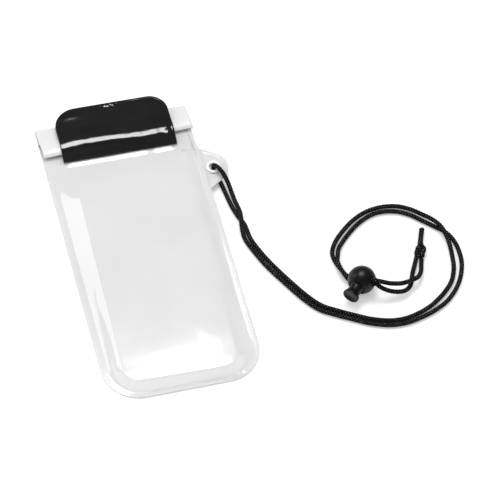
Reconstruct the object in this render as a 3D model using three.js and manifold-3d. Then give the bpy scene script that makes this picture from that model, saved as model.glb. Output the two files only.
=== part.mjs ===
// Waterproof pouch with a press-seal mouth, a closing tab and a neck cord, in millimetres, +Z up.
// The pouch lies on its back: x runs across it, y from its bottom edge to its folded mouth.
import * as THREE from 'three';
import { mergeVertices } from 'three/addons/utils/BufferGeometryUtils.js';
import Module from 'manifold-3d';

const wasm = await Module();
wasm.setup();

// Facets: round holes and lathed pieces, small arcs, and each stretch of the sheets' contours
const ROUND_STEPS = 28;
const ARC_STEPS = 14;
const HOLE_STEPS = 8;
const CONTOUR = { bottom: 9, top: 4, end: 3, belowLug: 10, alongLug: 3, aboveLug: 3 };

// Sheets
const FILM = 0.5;
const POUCH_WIDTH = 92;
const POUCH_LENGTH = 194;
const CORNER_RADIUS = 22;
const TOP_CORNER_RADIUS = 0.6;

// Weld bead along the sides and the bottom
const WELD_INSET = 0.9;
const WELD_WIDTH = 1.2;
const WELD_HEIGHT = 0.25;
const WELD_SLOPE = 0.25;
const SHEET_CLEARANCE = 0.08;
const SEAM_STEP = 0.3;

// Pocket: where the front sheet leaves the back sheet, and its raised middle
const FOOT_INSET = 7;
const FOOT_BOTTOM = 3;
const FOOT_RADIUS = 16;
const POCKET_FROM_SIDES = 13.2;
const POCKET_FROM_BOTTOM = 6;
const POCKET_FROM_TOP = 51;
const POCKET_X = -0.4;
const POCKET_TURN = THREE.MathUtils.degToRad(-1.5);
const POCKET_RADIUS = 9;
const POCKET_HEIGHT = 8.6;
const LIFTED_FOOT_RISE = 0.45;
const LIFTED_FOOT_MARGIN = 2;
// Rise of the front sheet from its foot to the raised middle: share of the way in, share of the height
const POCKET_RISE = [[0.2, 0.1], [0.4, 0.36], [0.6, 0.7], [0.8, 0.93], [1, 1]];

// Lifted side edge and the lug that carries the cord's eyelet
const LUG_LIFT = 3.9;
const LUG_FROM_TOP = 50;
const LUG_REACH = 14;
const LUG_TIP_RADIUS = 11;
const LUG_BASE = 29.6;
const LUG_ROOT = 1.6;
const LIFT_LEVEL = 15.6;
const LIFT_FADE_UP = 6;
const LIFT_FADE_DOWN = 28;
const EYELET_OUT = 5;
const EYELET_DROP = 0.5;
const EYELET_HOLE = 2.5;
const EYELET_FLARE = 3.1;
const EYELET_RADIUS = 4.4;
const EYELET_FLANGE = 0.8;
const EYELET_ROUND = 0.4;
const BARREL_WALL = 0.4;
const BARREL_CLEARANCE = 0.3;
const WASHER_RADIUS = 4;
const WASHER_THICKNESS = 0.45;

// Mouth, folded once over the front
const FOLD_HEIGHT = 2.9;
const FOLD_CLEARANCE = 0.15;
const FOLD_START = 12;
const PANEL_LAP = 2;
const BEND_STEPS = 8;
const BAND_DEPTH = 20;
const BAND_SKEW = 4;
const BAND_SHIFT = 0.9;
const LIP_DROP = 1.1;
const CREST_RUN = 2.8;

// Press-seal strips between the two folded sheets
const SEAL_FROM_LIP = 1.6;
const SEAL_WIDTH = 6;
const SEAL_BASE = 0.35;
const SEAL_HEIGHT = 1.65;
const SEAL_END_GAP = 1.5;
const SEAL_CLAW = 0.5;
const SEAL_SLOT = 1.3;
const SEAL_HOOK = 0.2;
const SEAL_NECK = 0.4;
const SEAL_HEAD = 1.1;
const SEAL_CLEARANCE = 0.15;

// Closing tab of two welded layers, with its hook and loop patches
const TAB_FROM_LEFT = 11.8;
const TAB_FROM_RIGHT = 11;
const TAB_FOOT_DROP = 7;
const TAB_OVERHANG = 8.3;
const TAB_WELD = 2;
const TAB_FOOT_MARGIN = 0.5;
const TAB_LEFT_CORNER = 14;
const TAB_RIGHT_CORNER = 11;
const TAB_LAYER = 0.4;
const TAB_GAP = 0.05;
const TAB_CLEARANCE = 0.35;
const TAB_CURL = 0.6;
const TAB_LEVEL_TO = 4;
const BEAD_END_DROP = 5;
const FOOT_END_DROP = 4;
// How the tab climbs onto the crest: distance from the lip, share of the height
const TAB_RISE = [[-3, 0.14], [-1.2, 0.605], [0.8, 0.905], [2.45, 1]];
const PATCH_MARGIN = 7;
const PATCH_DEPTH = 6;
const PATCH_FROM_LIP = 11.2;
const PATCH_THICKNESS = 0.9;

// Ball lock on the cord, placed from the eyelet
const LOCK_AT = new THREE.Vector3(62.7, -98.3, 8.25);
const LOCK_TURN = THREE.MathUtils.degToRad(-45);
const LOCK_ROLL = THREE.MathUtils.degToRad(-30);
const BALL_RADIUS = 8.25;
const BALL_MOUTH = 6.3;
const BORE_RADIUS = 4.65;
const BORE_FLOOR = 6.1;
const PLUNGER_RADIUS = 4.3;
const PLUNGER_TRAVEL = 2.6;
const SLOT_CORNER = 0.8;
const HOLE_CORNER = 2;
const PLUNGER_END = 13.8;
const PLUNGER_CHAMFER = 0.3;
const NECK_RADIUS = 3.8;
const NECK_START = 4;
const NECK_END = 7.5;
const HEAD_RADIUS = 4.85;
const HEAD_RIM = 0.9;
const HEAD_TAPER = 1;
const MOUTH_CHAMFER = 0.5;
const SPRING_WIRE = 0.5;
const SPRING_TURNS = 3.5;
const SPRING_STEPS = 12;
const SPRING_WIDE = 2.6;
const SPRING_NARROW = 1.7;
const SPRING_RECESS = 0.8;
const SPRING_CLEARANCE = 0.1;
const BORE_CHAMFER = 0.4;

// Cord, placed from the eyelet
const CORD_DIAMETER = 2.8;
const CORD_SIDES = 8;
const CORD_SPREAD = 1.55;
const CORD_CLEARANCE = 0.35;
const KNOT_AT = new THREE.Vector3(103.7, -82.7, 2.95);
const KNOT_TURN = THREE.MathUtils.degToRad(63);
const KNOT_LENGTH = 8.8;
const KNOT_WIDTH = 6.1;
const KNOT_THICKNESS = 5.8;

const halfWidth = POUCH_WIDTH / 2;
const weldEnd = WELD_INSET + WELD_WIDTH + 2 * WELD_SLOPE;
const panelUnder = FILM + SHEET_CLEARANCE;
const panelTop = POUCH_LENGTH - FOLD_START + PANEL_LAP;
const lugTipX = halfWidth + LUG_REACH;
const lugY = POUCH_LENGTH - LUG_FROM_TOP;
const eyeletX = halfWidth + EYELET_OUT;
const eyeletY = lugY - EYELET_DROP;
const tabFoot = POUCH_LENGTH - BAND_DEPTH - TAB_FOOT_DROP;
const tabEnd = POUCH_LENGTH + TAB_OVERHANG;
const tabLeft = TAB_FROM_LEFT - halfWidth;
const tabRight = halfWidth - TAB_FROM_RIGHT;
const beadTop = tabFoot - BEAD_END_DROP;
const footTop = tabFoot - FOOT_END_DROP;
const pocketWidth = POUCH_WIDTH - 2 * POCKET_FROM_SIDES;
const pocketLength = POUCH_LENGTH - POCKET_FROM_BOTTOM - POCKET_FROM_TOP;
const pocketY = POCKET_FROM_BOTTOM + pocketLength / 2;

function plastic(color, roughness, opacity = 1) {
  return new THREE.MeshStandardMaterial({ color, roughness, opacity, transparent: opacity < 1 });
}

const clearFilm = plastic(0xe9ebec, 0.2, 0.5);
const milkyFilm = plastic(0xe2e4e6, 0.35, 0.8);
const sealPlastic = plastic(0xf0f1f2, 0.3);
const blackFilm = plastic(0x121213, 0.15);
const blackFleece = plastic(0x161616, 0.95);
const whitePlastic = plastic(0xf4f4f2, 0.35);
const blackPlastic = plastic(0x151516, 0.3);
const blackBraid = plastic(0x101011, 0.8);
const springSteel = new THREE.MeshStandardMaterial({ color: 0xb8bcc0, roughness: 0.3, metalness: 1 });

const pouch = new THREE.Group();
const neckCord = new THREE.Group();
neckCord.position.set(eyeletX, eyeletY, 0);
pouch.add(neckCord);
const lock = new THREE.Group();
lock.position.copy(LOCK_AT);
lock.rotation.set(0, LOCK_ROLL, LOCK_TURN, 'ZYX');
neckCord.add(lock);

function addPiece(name, geometry, material, parent = pouch) {
  const mesh = new THREE.Mesh(geometry, material);
  mesh.name = name;
  parent.add(mesh);
  return mesh;
}

// Closed meshes as solids, and back
function toSolid(geometry) {
  const bare = geometry.clone();
  bare.deleteAttribute('normal');
  bare.deleteAttribute('uv');
  const merged = mergeVertices(bare, 1e-4);
  return new wasm.Manifold(new wasm.Mesh({
    numProp: 3,
    vertProperties: merged.attributes.position.array,
    triVerts: new Uint32Array(merged.index.array),
  }));
}

function toGeometry(solid) {
  const mesh = solid.getMesh();
  const geometry = new THREE.BufferGeometry();
  geometry.setAttribute('position', new THREE.BufferAttribute(mesh.vertProperties, 3));
  geometry.setIndex(new THREE.BufferAttribute(mesh.triVerts, 1));
  return geometry;
}

function join(first, ...others) {
  return toGeometry(others.reduce((whole, next) => whole.add(toSolid(next)), toSolid(first)));
}

function cut(first, ...others) {
  return toGeometry(others.reduce((whole, next) => whole.subtract(toSolid(next)), toSolid(first)));
}

function common(first, second) {
  return toGeometry(toSolid(first).intersect(toSolid(second)));
}

// A closed body through sections of equal point counts, its ends filled flat as seen along the given axes
function loft(sections, flatten) {
  const count = sections[0].length;
  const corners = [];
  for (let s = 0; s + 1 < sections.length; s += 1) {
    for (let i = 0; i < count; i += 1) {
      const j = (i + 1) % count;
      const [a, b, c, d] = [sections[s][i], sections[s + 1][i], sections[s + 1][j], sections[s][j]];
      // Each quad splits along the diagonal that looks shorter, so that facing surfaces split alike
      const [p, q, r, t] = [a, b, c, d].map(flatten);
      if (p.distanceTo(r) < q.distanceTo(t)) corners.push(a, b, c, a, c, d);
      else corners.push(a, b, d, b, c, d);
    }
  }
  const first = sections[0];
  const last = sections[sections.length - 1];
  for (const [ring, flip] of [[first, false], [last, true]]) {
    const flat = ring.map(flatten);
    const turned = THREE.ShapeUtils.isClockWise(flat);
    const order = turned ? [...ring.keys()].reverse() : [...ring.keys()];
    for (const triangle of THREE.ShapeUtils.triangulateShape(order.map((i) => flat[i]), [])) {
      const [a, b, c] = triangle.map((k) => ring[order[k]]);
      corners.push(...(flip === turned ? [a, b, c] : [c, b, a]));
    }
  }
  let volume = 0;
  for (let i = 0; i < corners.length; i += 3) {
    volume += corners[i].dot(corners[i + 1].clone().cross(corners[i + 2]));
  }
  if (volume < 0) corners.reverse();
  return mergeVertices(new THREE.BufferGeometry().setFromPoints(corners), 1e-4);
}

const seenFromAbove = (p) => new THREE.Vector2(p.x, p.y);
const seenFromSide = (p) => new THREE.Vector2(p.y, p.z);

function prism(shape, bottom, top) {
  const options = { depth: top - bottom, bevelEnabled: false, curveSegments: ARC_STEPS };
  return new THREE.ExtrudeGeometry(shape, options).translate(0, 0, bottom);
}

const smooth = (t) => THREE.MathUtils.smoothstep(t, 0, 1);

// A rounded outer edge of a lathed piece, from its side up to its top
function quarterRound(radius, top, round, steps = 3) {
  return Array.from({ length: steps + 1 }, (_, i) => {
    const angle = (Math.PI / 2) * (i / steps);
    return [radius - round * (1 - Math.cos(angle)), top - round * (1 - Math.sin(angle))];
  });
}

// Contours of the sheets, from the cut edge in to the raised middle
function evenly(from, to, steps) {
  return Array.from({ length: steps }, (_, i) => from + ((to - from) * (i + 1)) / steps);
}

// Heights up the sides where a contour has its points: they follow the lug and the lift beside it
const liftStart = lugY - LIFT_LEVEL;
const liftEnd = lugY + LIFT_LEVEL;
const sideStops = [
  ...evenly(CORNER_RADIUS, liftStart, CONTOUR.belowLug),
  ...evenly(liftStart, liftEnd, CONTOUR.alongLug),
  ...evenly(liftEnd, liftEnd + LIFT_FADE_UP, CONTOUR.aboveLug),
];

function scaledStops(from, to) {
  return sideStops.map((y) => from + ((to - from) * (y - CORNER_RADIUS)) / (panelTop - CORNER_RADIUS));
}

function contour({ left, right, bottom, top, bottomRadius, topRadius, stops, turn = 0, centre = [0, 0] }) {
  const points = [];
  const arc = (cx, cy, radius, from, steps) => {
    for (let i = 0; i <= steps; i += 1) {
      const angle = from + (Math.PI / 2) * (i / steps);
      points.push([cx + radius * Math.cos(angle), cy + radius * Math.sin(angle)]);
    }
  };
  const across = (from, to, y) => evenly(from, to, CONTOUR.end).slice(0, -1).map((x) => [x, y]);
  const sides = stops ?? scaledStops(bottom + bottomRadius, top - topRadius);
  arc(right - bottomRadius, bottom + bottomRadius, bottomRadius, -Math.PI / 2, CONTOUR.bottom);
  points.push(...sides.map((y) => [right, y]));
  arc(right - topRadius, top - topRadius, topRadius, 0, CONTOUR.top);
  points.push(...across(right - topRadius, left + topRadius, top));
  arc(left + topRadius, top - topRadius, topRadius, Math.PI / 2, CONTOUR.top);
  points.push(...[...sides].reverse().map((y) => [left, y]));
  arc(left + bottomRadius, bottom + bottomRadius, bottomRadius, Math.PI, CONTOUR.bottom);
  points.push(...across(left + bottomRadius, right - bottomRadius, bottom));
  const [cx, cy] = centre;
  return points.map(([x, y]) => [
    cx + (x - cx) * Math.cos(turn) - (y - cy) * Math.sin(turn),
    cy + (x - cx) * Math.sin(turn) + (y - cy) * Math.cos(turn),
  ]);
}

function outline(inset, top = panelTop - inset) {
  return contour({
    left: -halfWidth + inset,
    right: halfWidth - inset,
    bottom: inset,
    top,
    bottomRadius: CORNER_RADIUS - inset,
    topRadius: TOP_CORNER_RADIUS,
    stops: sideStops,
  });
}

// Contour just inside the weld, where the sheets part: it ends below the tab
const seamLine = () => outline(weldEnd + SEAM_STEP, tabFoot - TAB_FOOT_MARGIN);

function foot(inset) {
  return contour({
    left: -halfWidth + FOOT_INSET + inset,
    right: halfWidth - FOOT_INSET - inset,
    bottom: FOOT_BOTTOM + inset,
    top: footTop - inset,
    bottomRadius: FOOT_RADIUS - inset,
    topRadius: FOOT_RADIUS - inset,
  });
}

function middle(inset) {
  return contour({
    left: POCKET_X - pocketWidth / 2 + inset,
    right: POCKET_X + pocketWidth / 2 - inset,
    bottom: pocketY - pocketLength / 2 + inset,
    top: pocketY + pocketLength / 2 - inset,
    bottomRadius: POCKET_RADIUS - inset,
    topRadius: POCKET_RADIUS - inset,
    turn: POCKET_TURN,
    centre: [POCKET_X, pocketY],
  });
}

const between = (a, b, t) => a.map(([x, y], i) => [x + (b[i][0] - x) * t, y + (b[i][1] - y) * t]);

// How far the welded edge stands off the table beside the lug
function edgeLift(x, y) {
  const weldEdge = halfWidth - weldEnd - SEAM_STEP;
  const footEdge = halfWidth - FOOT_INSET - FILM;
  const along = y > lugY
    ? 1 - smooth((y - liftEnd) / LIFT_FADE_UP)
    : 1 - smooth((liftStart - y) / LIFT_FADE_DOWN);
  const across = THREE.MathUtils.clamp((x - footEdge) / (weldEdge - footEdge), 0, 1);
  return LUG_LIFT * along * across;
}

const raised = (ring, height) => ring.map(([x, y]) => new THREE.Vector3(x, y, height(x, y)));

function lugShape(inset) {
  const shape = new THREE.Shape();
  const centreX = lugTipX - LUG_TIP_RADIUS;
  const radius = LUG_TIP_RADIUS - inset;
  const baseX = halfWidth - LUG_ROOT;
  const halfBase = LUG_BASE / 2 - inset;
  const reach = Math.hypot(centreX - halfWidth, halfBase);
  const bearing = Math.atan2(halfBase, halfWidth - centreX);
  const tangent = bearing - Math.acos(radius / reach);
  shape.moveTo(baseX, lugY - halfBase);
  shape.lineTo(halfWidth, lugY - halfBase);
  shape.absarc(centreX, lugY, radius, -tangent, tangent, false);
  shape.lineTo(halfWidth, lugY + halfBase);
  shape.lineTo(baseX, lugY + halfBase);
  shape.closePath();
  return shape;
}

function disc(radius) {
  return new THREE.Shape().absarc(eyeletX, eyeletY, radius, 0, 2 * Math.PI, false);
}

const barrelRadius = EYELET_HOLE + BARREL_WALL;
const lugHole = (bottom, top) => prism(disc(barrelRadius + BARREL_CLEARANCE), bottom, top);

function lugPlate(bottom) {
  return prism(lugShape(0), bottom, bottom + FILM);
}

function lugBead(bottom) {
  const outer = prism(lugShape(WELD_INSET), bottom - FILM / 2, bottom + WELD_HEIGHT);
  const inner = prism(lugShape(WELD_INSET + WELD_WIDTH), bottom - FILM, bottom + FILM);
  const root = new THREE.BoxGeometry(4 * WELD_WIDTH, LUG_BASE, 2 * FILM);
  return cut(outer, inner, root.translate(halfWidth - LUG_ROOT, lugY, bottom));
}

// Folded mouth: each sheet turns forward at the top edge and comes back down to its lip
const foldCentre = FOLD_HEIGHT / 2;
const foldY = POUCH_LENGTH - foldCentre;
const outerBend = foldCentre - FILM;
const innerBend = outerBend - FOLD_CLEARANCE - FILM;
const innerFlapTop = foldCentre + innerBend + FILM;
const outerFlapUnder = foldCentre + outerBend;
const crestUnder = innerFlapTop + SEAL_HEIGHT;

const lipY = (x) => POUCH_LENGTH - BAND_DEPTH + (BAND_SKEW * x) / POUCH_WIDTH;

function flapPoint(x, fromLip, z) {
  const share = 1 - fromLip / BAND_DEPTH;
  return new THREE.Vector3(x + BAND_SHIFT * share, lipY(x) + fromLip, z);
}

function foldedSheet({ bottom, bend, flap }) {
  const section = (x) => {
    const outer = [];
    const inner = [];
    const add = (y, z, thickness) => {
      outer.push(new THREE.Vector3(x, y, z));
      inner.push(new THREE.Vector3(x, y, z + thickness));
    };
    add(POUCH_LENGTH - FOLD_START, bottom, FILM);
    add(POUCH_LENGTH - FOLD_START / 2, bottom, FILM);
    for (let i = 0; i <= BEND_STEPS; i += 1) {
      const angle = -Math.PI / 2 + (Math.PI * i) / BEND_STEPS;
      outer.push(new THREE.Vector3(
        x,
        foldY + (bend + FILM) * Math.cos(angle),
        foldCentre + (bend + FILM) * Math.sin(angle),
      ));
      inner.push(new THREE.Vector3(x, foldY + bend * Math.cos(angle), foldCentre + bend * Math.sin(angle)));
    }
    for (const [fromLip, under] of flap) {
      outer.push(flapPoint(x, fromLip, under + FILM));
      inner.push(flapPoint(x, fromLip, under));
    }
    return [...outer, ...inner.reverse()];
  };
  return loft([section(-halfWidth), section(halfWidth)], seenFromSide);
}

const sealStart = SEAL_FROM_LIP - SEAL_CLEARANCE;
const sealEnd = SEAL_FROM_LIP + SEAL_WIDTH + SEAL_CLEARANCE;

function makeBackSheet() {
  const edge = raised(outline(0), edgeLift);
  const weld = raised(outline(weldEnd), edgeLift);
  const seam = raised(seamLine(), edgeLift);
  const rest = raised(foot(FILM), edgeLift);
  const under = [rest, seam, weld, edge];
  const upper = under.map((ring) => ring.map((p) => p.clone().setZ(p.z + FILM)));
  const panel = loft([...under, ...upper.reverse()], seenFromAbove);
  const mouth = foldedSheet({
    bottom: 0,
    bend: outerBend,
    flap: [
      [sealEnd + CREST_RUN, outerFlapUnder],
      [sealEnd, crestUnder],
      [sealStart, crestUnder],
      [0, crestUnder - LIP_DROP],
    ],
  });
  return cut(join(panel, mouth, lugPlate(LUG_LIFT)), lugHole(LUG_LIFT - FILM, LUG_LIFT + 2 * FILM));
}

function makeFrontSheet() {
  const onEdge = (extra) => (x, y) => edgeLift(x, y) + FILM + extra;
  const onBead = (x, y) => onEdge(FILM)(x, y) + (y < beadTop ? WELD_HEIGHT : 0);
  const footRise = (x, y) => {
    const start = POCKET_X + pocketWidth / 2 - LIFTED_FOOT_MARGIN;
    const share = smooth((x - start) / (halfWidth - FOOT_INSET - pocketWidth / 2));
    return (LIFTED_FOOT_RISE * share * edgeLift(halfWidth, y)) / LUG_LIFT;
  };
  const pocketRings = (thickness) => {
    const lower = FILM - thickness;
    const footRing = foot(lower);
    const middleRing = middle(lower);
    const low = (x, y) => panelUnder + thickness + (POCKET_HEIGHT - 2 * FILM) * footRise(x, y);
    const rings = [raised(footRing, low)];
    for (const [inward, rise] of POCKET_RISE) {
      const ring = between(footRing, middleRing, inward);
      rings.push(ring.map(([x, y]) => {
        const start = low(x, y);
        const share = THREE.MathUtils.lerp(rise, Math.sqrt(rise), footRise(x, y));
        return new THREE.Vector3(x, y, start + (POCKET_HEIGHT - FILM + thickness - start) * share);
      }));
    }
    return rings;
  };
  const under = [
    ...pocketRings(0).reverse(),
    raised(seamLine(), onEdge(SHEET_CLEARANCE)),
    raised(outline(weldEnd), onEdge(0)),
    raised(outline(0), onEdge(0)),
  ];
  const upper = [
    raised(outline(0), onEdge(FILM)),
    raised(outline(WELD_INSET), onEdge(FILM)),
    raised(outline(WELD_INSET + WELD_SLOPE), onBead),
    raised(outline(WELD_INSET + WELD_SLOPE + WELD_WIDTH), onBead),
    raised(outline(weldEnd), onEdge(FILM)),
    raised(seamLine(), onEdge(FILM + SHEET_CLEARANCE)),
    ...pocketRings(FILM),
  ];
  const panel = loft([...under, ...upper], seenFromAbove);
  const mouth = foldedSheet({
    bottom: panelUnder,
    bend: innerBend,
    flap: [[sealEnd, innerFlapTop - FILM], [0, innerFlapTop - FILM]],
  });
  const lug = LUG_LIFT + FILM;
  return cut(join(panel, mouth, lugPlate(lug), lugBead(lug + FILM)), lugHole(lug - FILM, lug + 2 * FILM));
}

// A strip along the mouth, with its section given as distances from the lip and heights
function mouthStrip(section, endGap) {
  const at = (x) => section.map(([fromLip, z]) => flapPoint(x, fromLip, z));
  return loft([at(-halfWidth + endGap), at(halfWidth - endGap)], seenFromSide);
}

const sealMiddle = SEAL_FROM_LIP + SEAL_WIDTH / 2;

function makeSealGroove() {
  const floor = innerFlapTop;
  const base = floor + SEAL_BASE;
  const clawTop = floor + SEAL_HEIGHT - SEAL_BASE - SEAL_CLEARANCE;
  const hookUnder = clawTop - SEAL_HOOK;
  const claw = (side) => {
    const inner = SEAL_SLOT / 2;
    const outer = inner + SEAL_CLAW;
    return [
      [sealMiddle + side * outer, base],
      [sealMiddle + side * outer, clawTop],
      [sealMiddle + side * (inner - SEAL_HOOK), clawTop],
      [sealMiddle + side * (inner - SEAL_HOOK), hookUnder],
      [sealMiddle + side * inner, hookUnder],
      [sealMiddle + side * inner, base],
    ];
  };
  return mouthStrip([
    [SEAL_FROM_LIP, floor],
    [SEAL_FROM_LIP, base],
    ...claw(-1),
    ...claw(1).reverse(),
    [SEAL_FROM_LIP + SEAL_WIDTH, base],
    [SEAL_FROM_LIP + SEAL_WIDTH, floor],
  ], SEAL_END_GAP);
}

function makeSealRib() {
  const ceiling = crestUnder;
  const base = ceiling - SEAL_BASE;
  const headTop = innerFlapTop + SEAL_HEIGHT - SEAL_BASE - SEAL_HOOK - 2 * SEAL_CLEARANCE;
  const tip = innerFlapTop + SEAL_BASE + SEAL_CLEARANCE;
  const neck = SEAL_NECK / 2;
  const head = SEAL_HEAD / 2 - SEAL_CLEARANCE / 2;
  return mouthStrip([
    [SEAL_FROM_LIP, ceiling],
    [SEAL_FROM_LIP, base],
    [sealMiddle - neck, base],
    [sealMiddle - neck, headTop],
    [sealMiddle - head, headTop],
    [sealMiddle, tip],
    [sealMiddle + head, headTop],
    [sealMiddle + neck, headTop],
    [sealMiddle + neck, base],
    [SEAL_FROM_LIP + SEAL_WIDTH, base],
    [SEAL_FROM_LIP + SEAL_WIDTH, ceiling],
  ], SEAL_END_GAP);
}

// Closing tab: welded to the front sheet below the lip, then over the crest and past the fold
const tabOverCrest = crestUnder + FILM + TAB_CLEARANCE;
const tabFootZ = panelUnder + FILM;

function tabUnder(x) {
  const lip = lipY(x);
  return [
    [tabFoot, tabFootZ],
    [tabFoot + TAB_WELD, tabFootZ],
    ...TAB_RISE.map(([fromLip, share]) => [lip + fromLip, THREE.MathUtils.lerp(tabFootZ, tabOverCrest, share)]),
    [lip + sealEnd, tabOverCrest],
    [POUCH_LENGTH - TAB_LEVEL_TO, tabOverCrest],
    [(POUCH_LENGTH + tabEnd) / 2, tabOverCrest + TAB_CURL / 3],
    [tabEnd, tabOverCrest + TAB_CURL],
  ];
}

function tabLayer(bottom) {
  const section = (x) => {
    const under = tabUnder(x).map(([y, z]) => new THREE.Vector3(x, y, z + bottom));
    const upper = under.map((p) => p.clone().setZ(p.z + TAB_LAYER));
    return [...under, ...upper.reverse()];
  };
  const shape = new THREE.Shape();
  const corner = (x, radius, from) => shape.absarc(x, tabEnd - radius, radius, from, from + Math.PI / 2, false);
  shape.moveTo(tabLeft, tabFoot);
  shape.lineTo(tabRight, tabFoot);
  corner(tabRight - TAB_RIGHT_CORNER, TAB_RIGHT_CORNER, 0);
  corner(tabLeft + TAB_LEFT_CORNER, TAB_LEFT_CORNER, Math.PI / 2);
  shape.closePath();
  const band = loft([section(tabLeft), section(tabRight)], seenFromSide);
  return common(band, prism(shape, 0, 4 * FOLD_HEIGHT));
}

function patch(bottom, top) {
  const at = (x) => [
    flapPoint(x, PATCH_FROM_LIP, bottom),
    flapPoint(x, PATCH_FROM_LIP + PATCH_DEPTH, bottom),
    flapPoint(x, PATCH_FROM_LIP + PATCH_DEPTH, top),
    flapPoint(x, PATCH_FROM_LIP, top),
  ];
  return loft([at(tabLeft + PATCH_MARGIN), at(tabRight - PATCH_MARGIN)], seenFromSide);
}

// Eyelet: a flared ring with its barrel through both lug sheets, and a washer behind
const lugTop = LUG_LIFT + 2 * FILM;

function makeEyelet() {
  const profile = [
    [EYELET_HOLE, LUG_LIFT - WASHER_THICKNESS],
    [barrelRadius, LUG_LIFT - WASHER_THICKNESS],
    [barrelRadius, lugTop],
    [EYELET_RADIUS, lugTop],
    ...quarterRound(EYELET_RADIUS, lugTop + EYELET_FLANGE, EYELET_ROUND),
    [EYELET_FLARE, lugTop + EYELET_FLANGE],
    [EYELET_HOLE, lugTop - FILM],
    [EYELET_HOLE, LUG_LIFT - WASHER_THICKNESS],
  ];
  const points = profile.map(([r, z]) => new THREE.Vector2(r, z));
  const ring = new THREE.LatheGeometry(points, ROUND_STEPS).rotateX(Math.PI / 2);
  return ring.translate(eyeletX, eyeletY, 0);
}

function makeWasher() {
  const shape = disc(WASHER_RADIUS);
  shape.holes.push(disc(barrelRadius + BARREL_CLEARANCE));
  return prism(shape, LUG_LIFT - WASHER_THICKNESS, LUG_LIFT);
}

// Ball lock, about its own +Y axis: the plunger comes out at -Y and the cord passes along X
const cordHalf = CORD_DIAMETER / 2;
const holeHalfWidth = cordHalf + 2 * CORD_CLEARANCE;
const holeHalfHeight = CORD_SPREAD + cordHalf + CORD_CLEARANCE;
const slotNear = cordHalf + CORD_CLEARANCE;
const slotFar = slotNear + PLUNGER_TRAVEL;
const plungerFoot = BORE_FLOOR - PLUNGER_TRAVEL - PLUNGER_CHAMFER;

// A passage along X with round corners: its two walls along Y, its half height along Z
function passage(from, to, halfHeight, radius, length) {
  const shape = new THREE.Shape();
  const high = halfHeight - radius;
  shape.absarc(to - radius, high, radius, 0, Math.PI / 2, false);
  shape.absarc(from + radius, high, radius, Math.PI / 2, Math.PI, false);
  shape.absarc(from + radius, -high, radius, Math.PI, 1.5 * Math.PI, false);
  shape.absarc(to - radius, -high, radius, 1.5 * Math.PI, 2 * Math.PI, false);
  shape.closePath();
  const body = new THREE.ExtrudeGeometry(shape, { depth: length, bevelEnabled: false, curveSegments: HOLE_STEPS });
  return body.translate(0, 0, -length / 2).rotateY(Math.PI / 2).rotateX(Math.PI / 2);
}

function makeBall() {
  const profile = [new THREE.Vector2(BORE_RADIUS, -BALL_MOUTH)];
  const start = -Math.asin(BALL_MOUTH / BALL_RADIUS);
  for (let i = 0; i <= ARC_STEPS; i += 1) {
    const angle = start + ((Math.PI / 2 - start) * i) / ARC_STEPS;
    profile.push(new THREE.Vector2(Math.max(BALL_RADIUS * Math.cos(angle), 0), BALL_RADIUS * Math.sin(angle)));
  }
  profile.push(
    new THREE.Vector2(0, BORE_FLOOR),
    new THREE.Vector2(BORE_RADIUS - BORE_CHAMFER, BORE_FLOOR),
    new THREE.Vector2(BORE_RADIUS, BORE_FLOOR - BORE_CHAMFER),
    new THREE.Vector2(BORE_RADIUS, -BALL_MOUTH),
  );
  const shell = new THREE.LatheGeometry(profile, ROUND_STEPS);
  return cut(shell, passage(-holeHalfWidth, holeHalfWidth, holeHalfHeight, HOLE_CORNER, 3 * BALL_RADIUS));
}

function makePlunger() {
  const recess = SPRING_WIDE + SPRING_WIRE;
  const profile = [
    [0, -PLUNGER_END],
    [HEAD_RADIUS - PLUNGER_CHAMFER, -PLUNGER_END],
    [HEAD_RADIUS, -PLUNGER_END + PLUNGER_CHAMFER],
    [HEAD_RADIUS, -PLUNGER_END + HEAD_RIM],
    [HEAD_RADIUS - HEAD_TAPER / 2, -PLUNGER_END + HEAD_RIM + HEAD_TAPER],
    [(HEAD_RADIUS - HEAD_TAPER + NECK_RADIUS) / 2, -PLUNGER_END + (NECK_START + HEAD_RIM + HEAD_TAPER) / 2],
    [NECK_RADIUS, -PLUNGER_END + NECK_START],
    [NECK_RADIUS, -NECK_END],
    [PLUNGER_RADIUS - MOUTH_CHAMFER, -BALL_MOUTH - MOUTH_CHAMFER],
    [PLUNGER_RADIUS, -BALL_MOUTH],
    [PLUNGER_RADIUS, plungerFoot - PLUNGER_CHAMFER],
    [PLUNGER_RADIUS - PLUNGER_CHAMFER, plungerFoot],
    [recess, plungerFoot],
    [recess, plungerFoot - SPRING_RECESS],
    [0, plungerFoot - SPRING_RECESS],
  ];
  const body = new THREE.LatheGeometry(profile.map(([r, y]) => new THREE.Vector2(r, y)), ROUND_STEPS);
  return cut(body, passage(-slotFar, slotNear, holeHalfHeight, SLOT_CORNER, 3 * PLUNGER_RADIUS));
}

function makeSpring() {
  const from = plungerFoot - SPRING_RECESS + SPRING_WIRE / 2 + SPRING_CLEARANCE;
  const to = BORE_FLOOR - SPRING_WIRE / 2 - SPRING_CLEARANCE;
  const steps = SPRING_TURNS * SPRING_STEPS;
  const points = [];
  for (let i = 0; i <= steps; i += 1) {
    const share = i / steps;
    const angle = 2 * Math.PI * SPRING_TURNS * share;
    const radius = THREE.MathUtils.lerp(SPRING_NARROW, SPRING_WIDE, share);
    points.push(new THREE.Vector3(
      radius * Math.cos(angle),
      THREE.MathUtils.lerp(from, to, share),
      radius * Math.sin(angle),
    ));
  }
  const wire = new THREE.Shape().absarc(0, 0, SPRING_WIRE / 2, 0, 2 * Math.PI, false);
  return new THREE.ExtrudeGeometry(wire, {
    steps,
    curveSegments: 3,
    extrudePath: new THREE.CatmullRomCurve3(points),
  });
}

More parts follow.
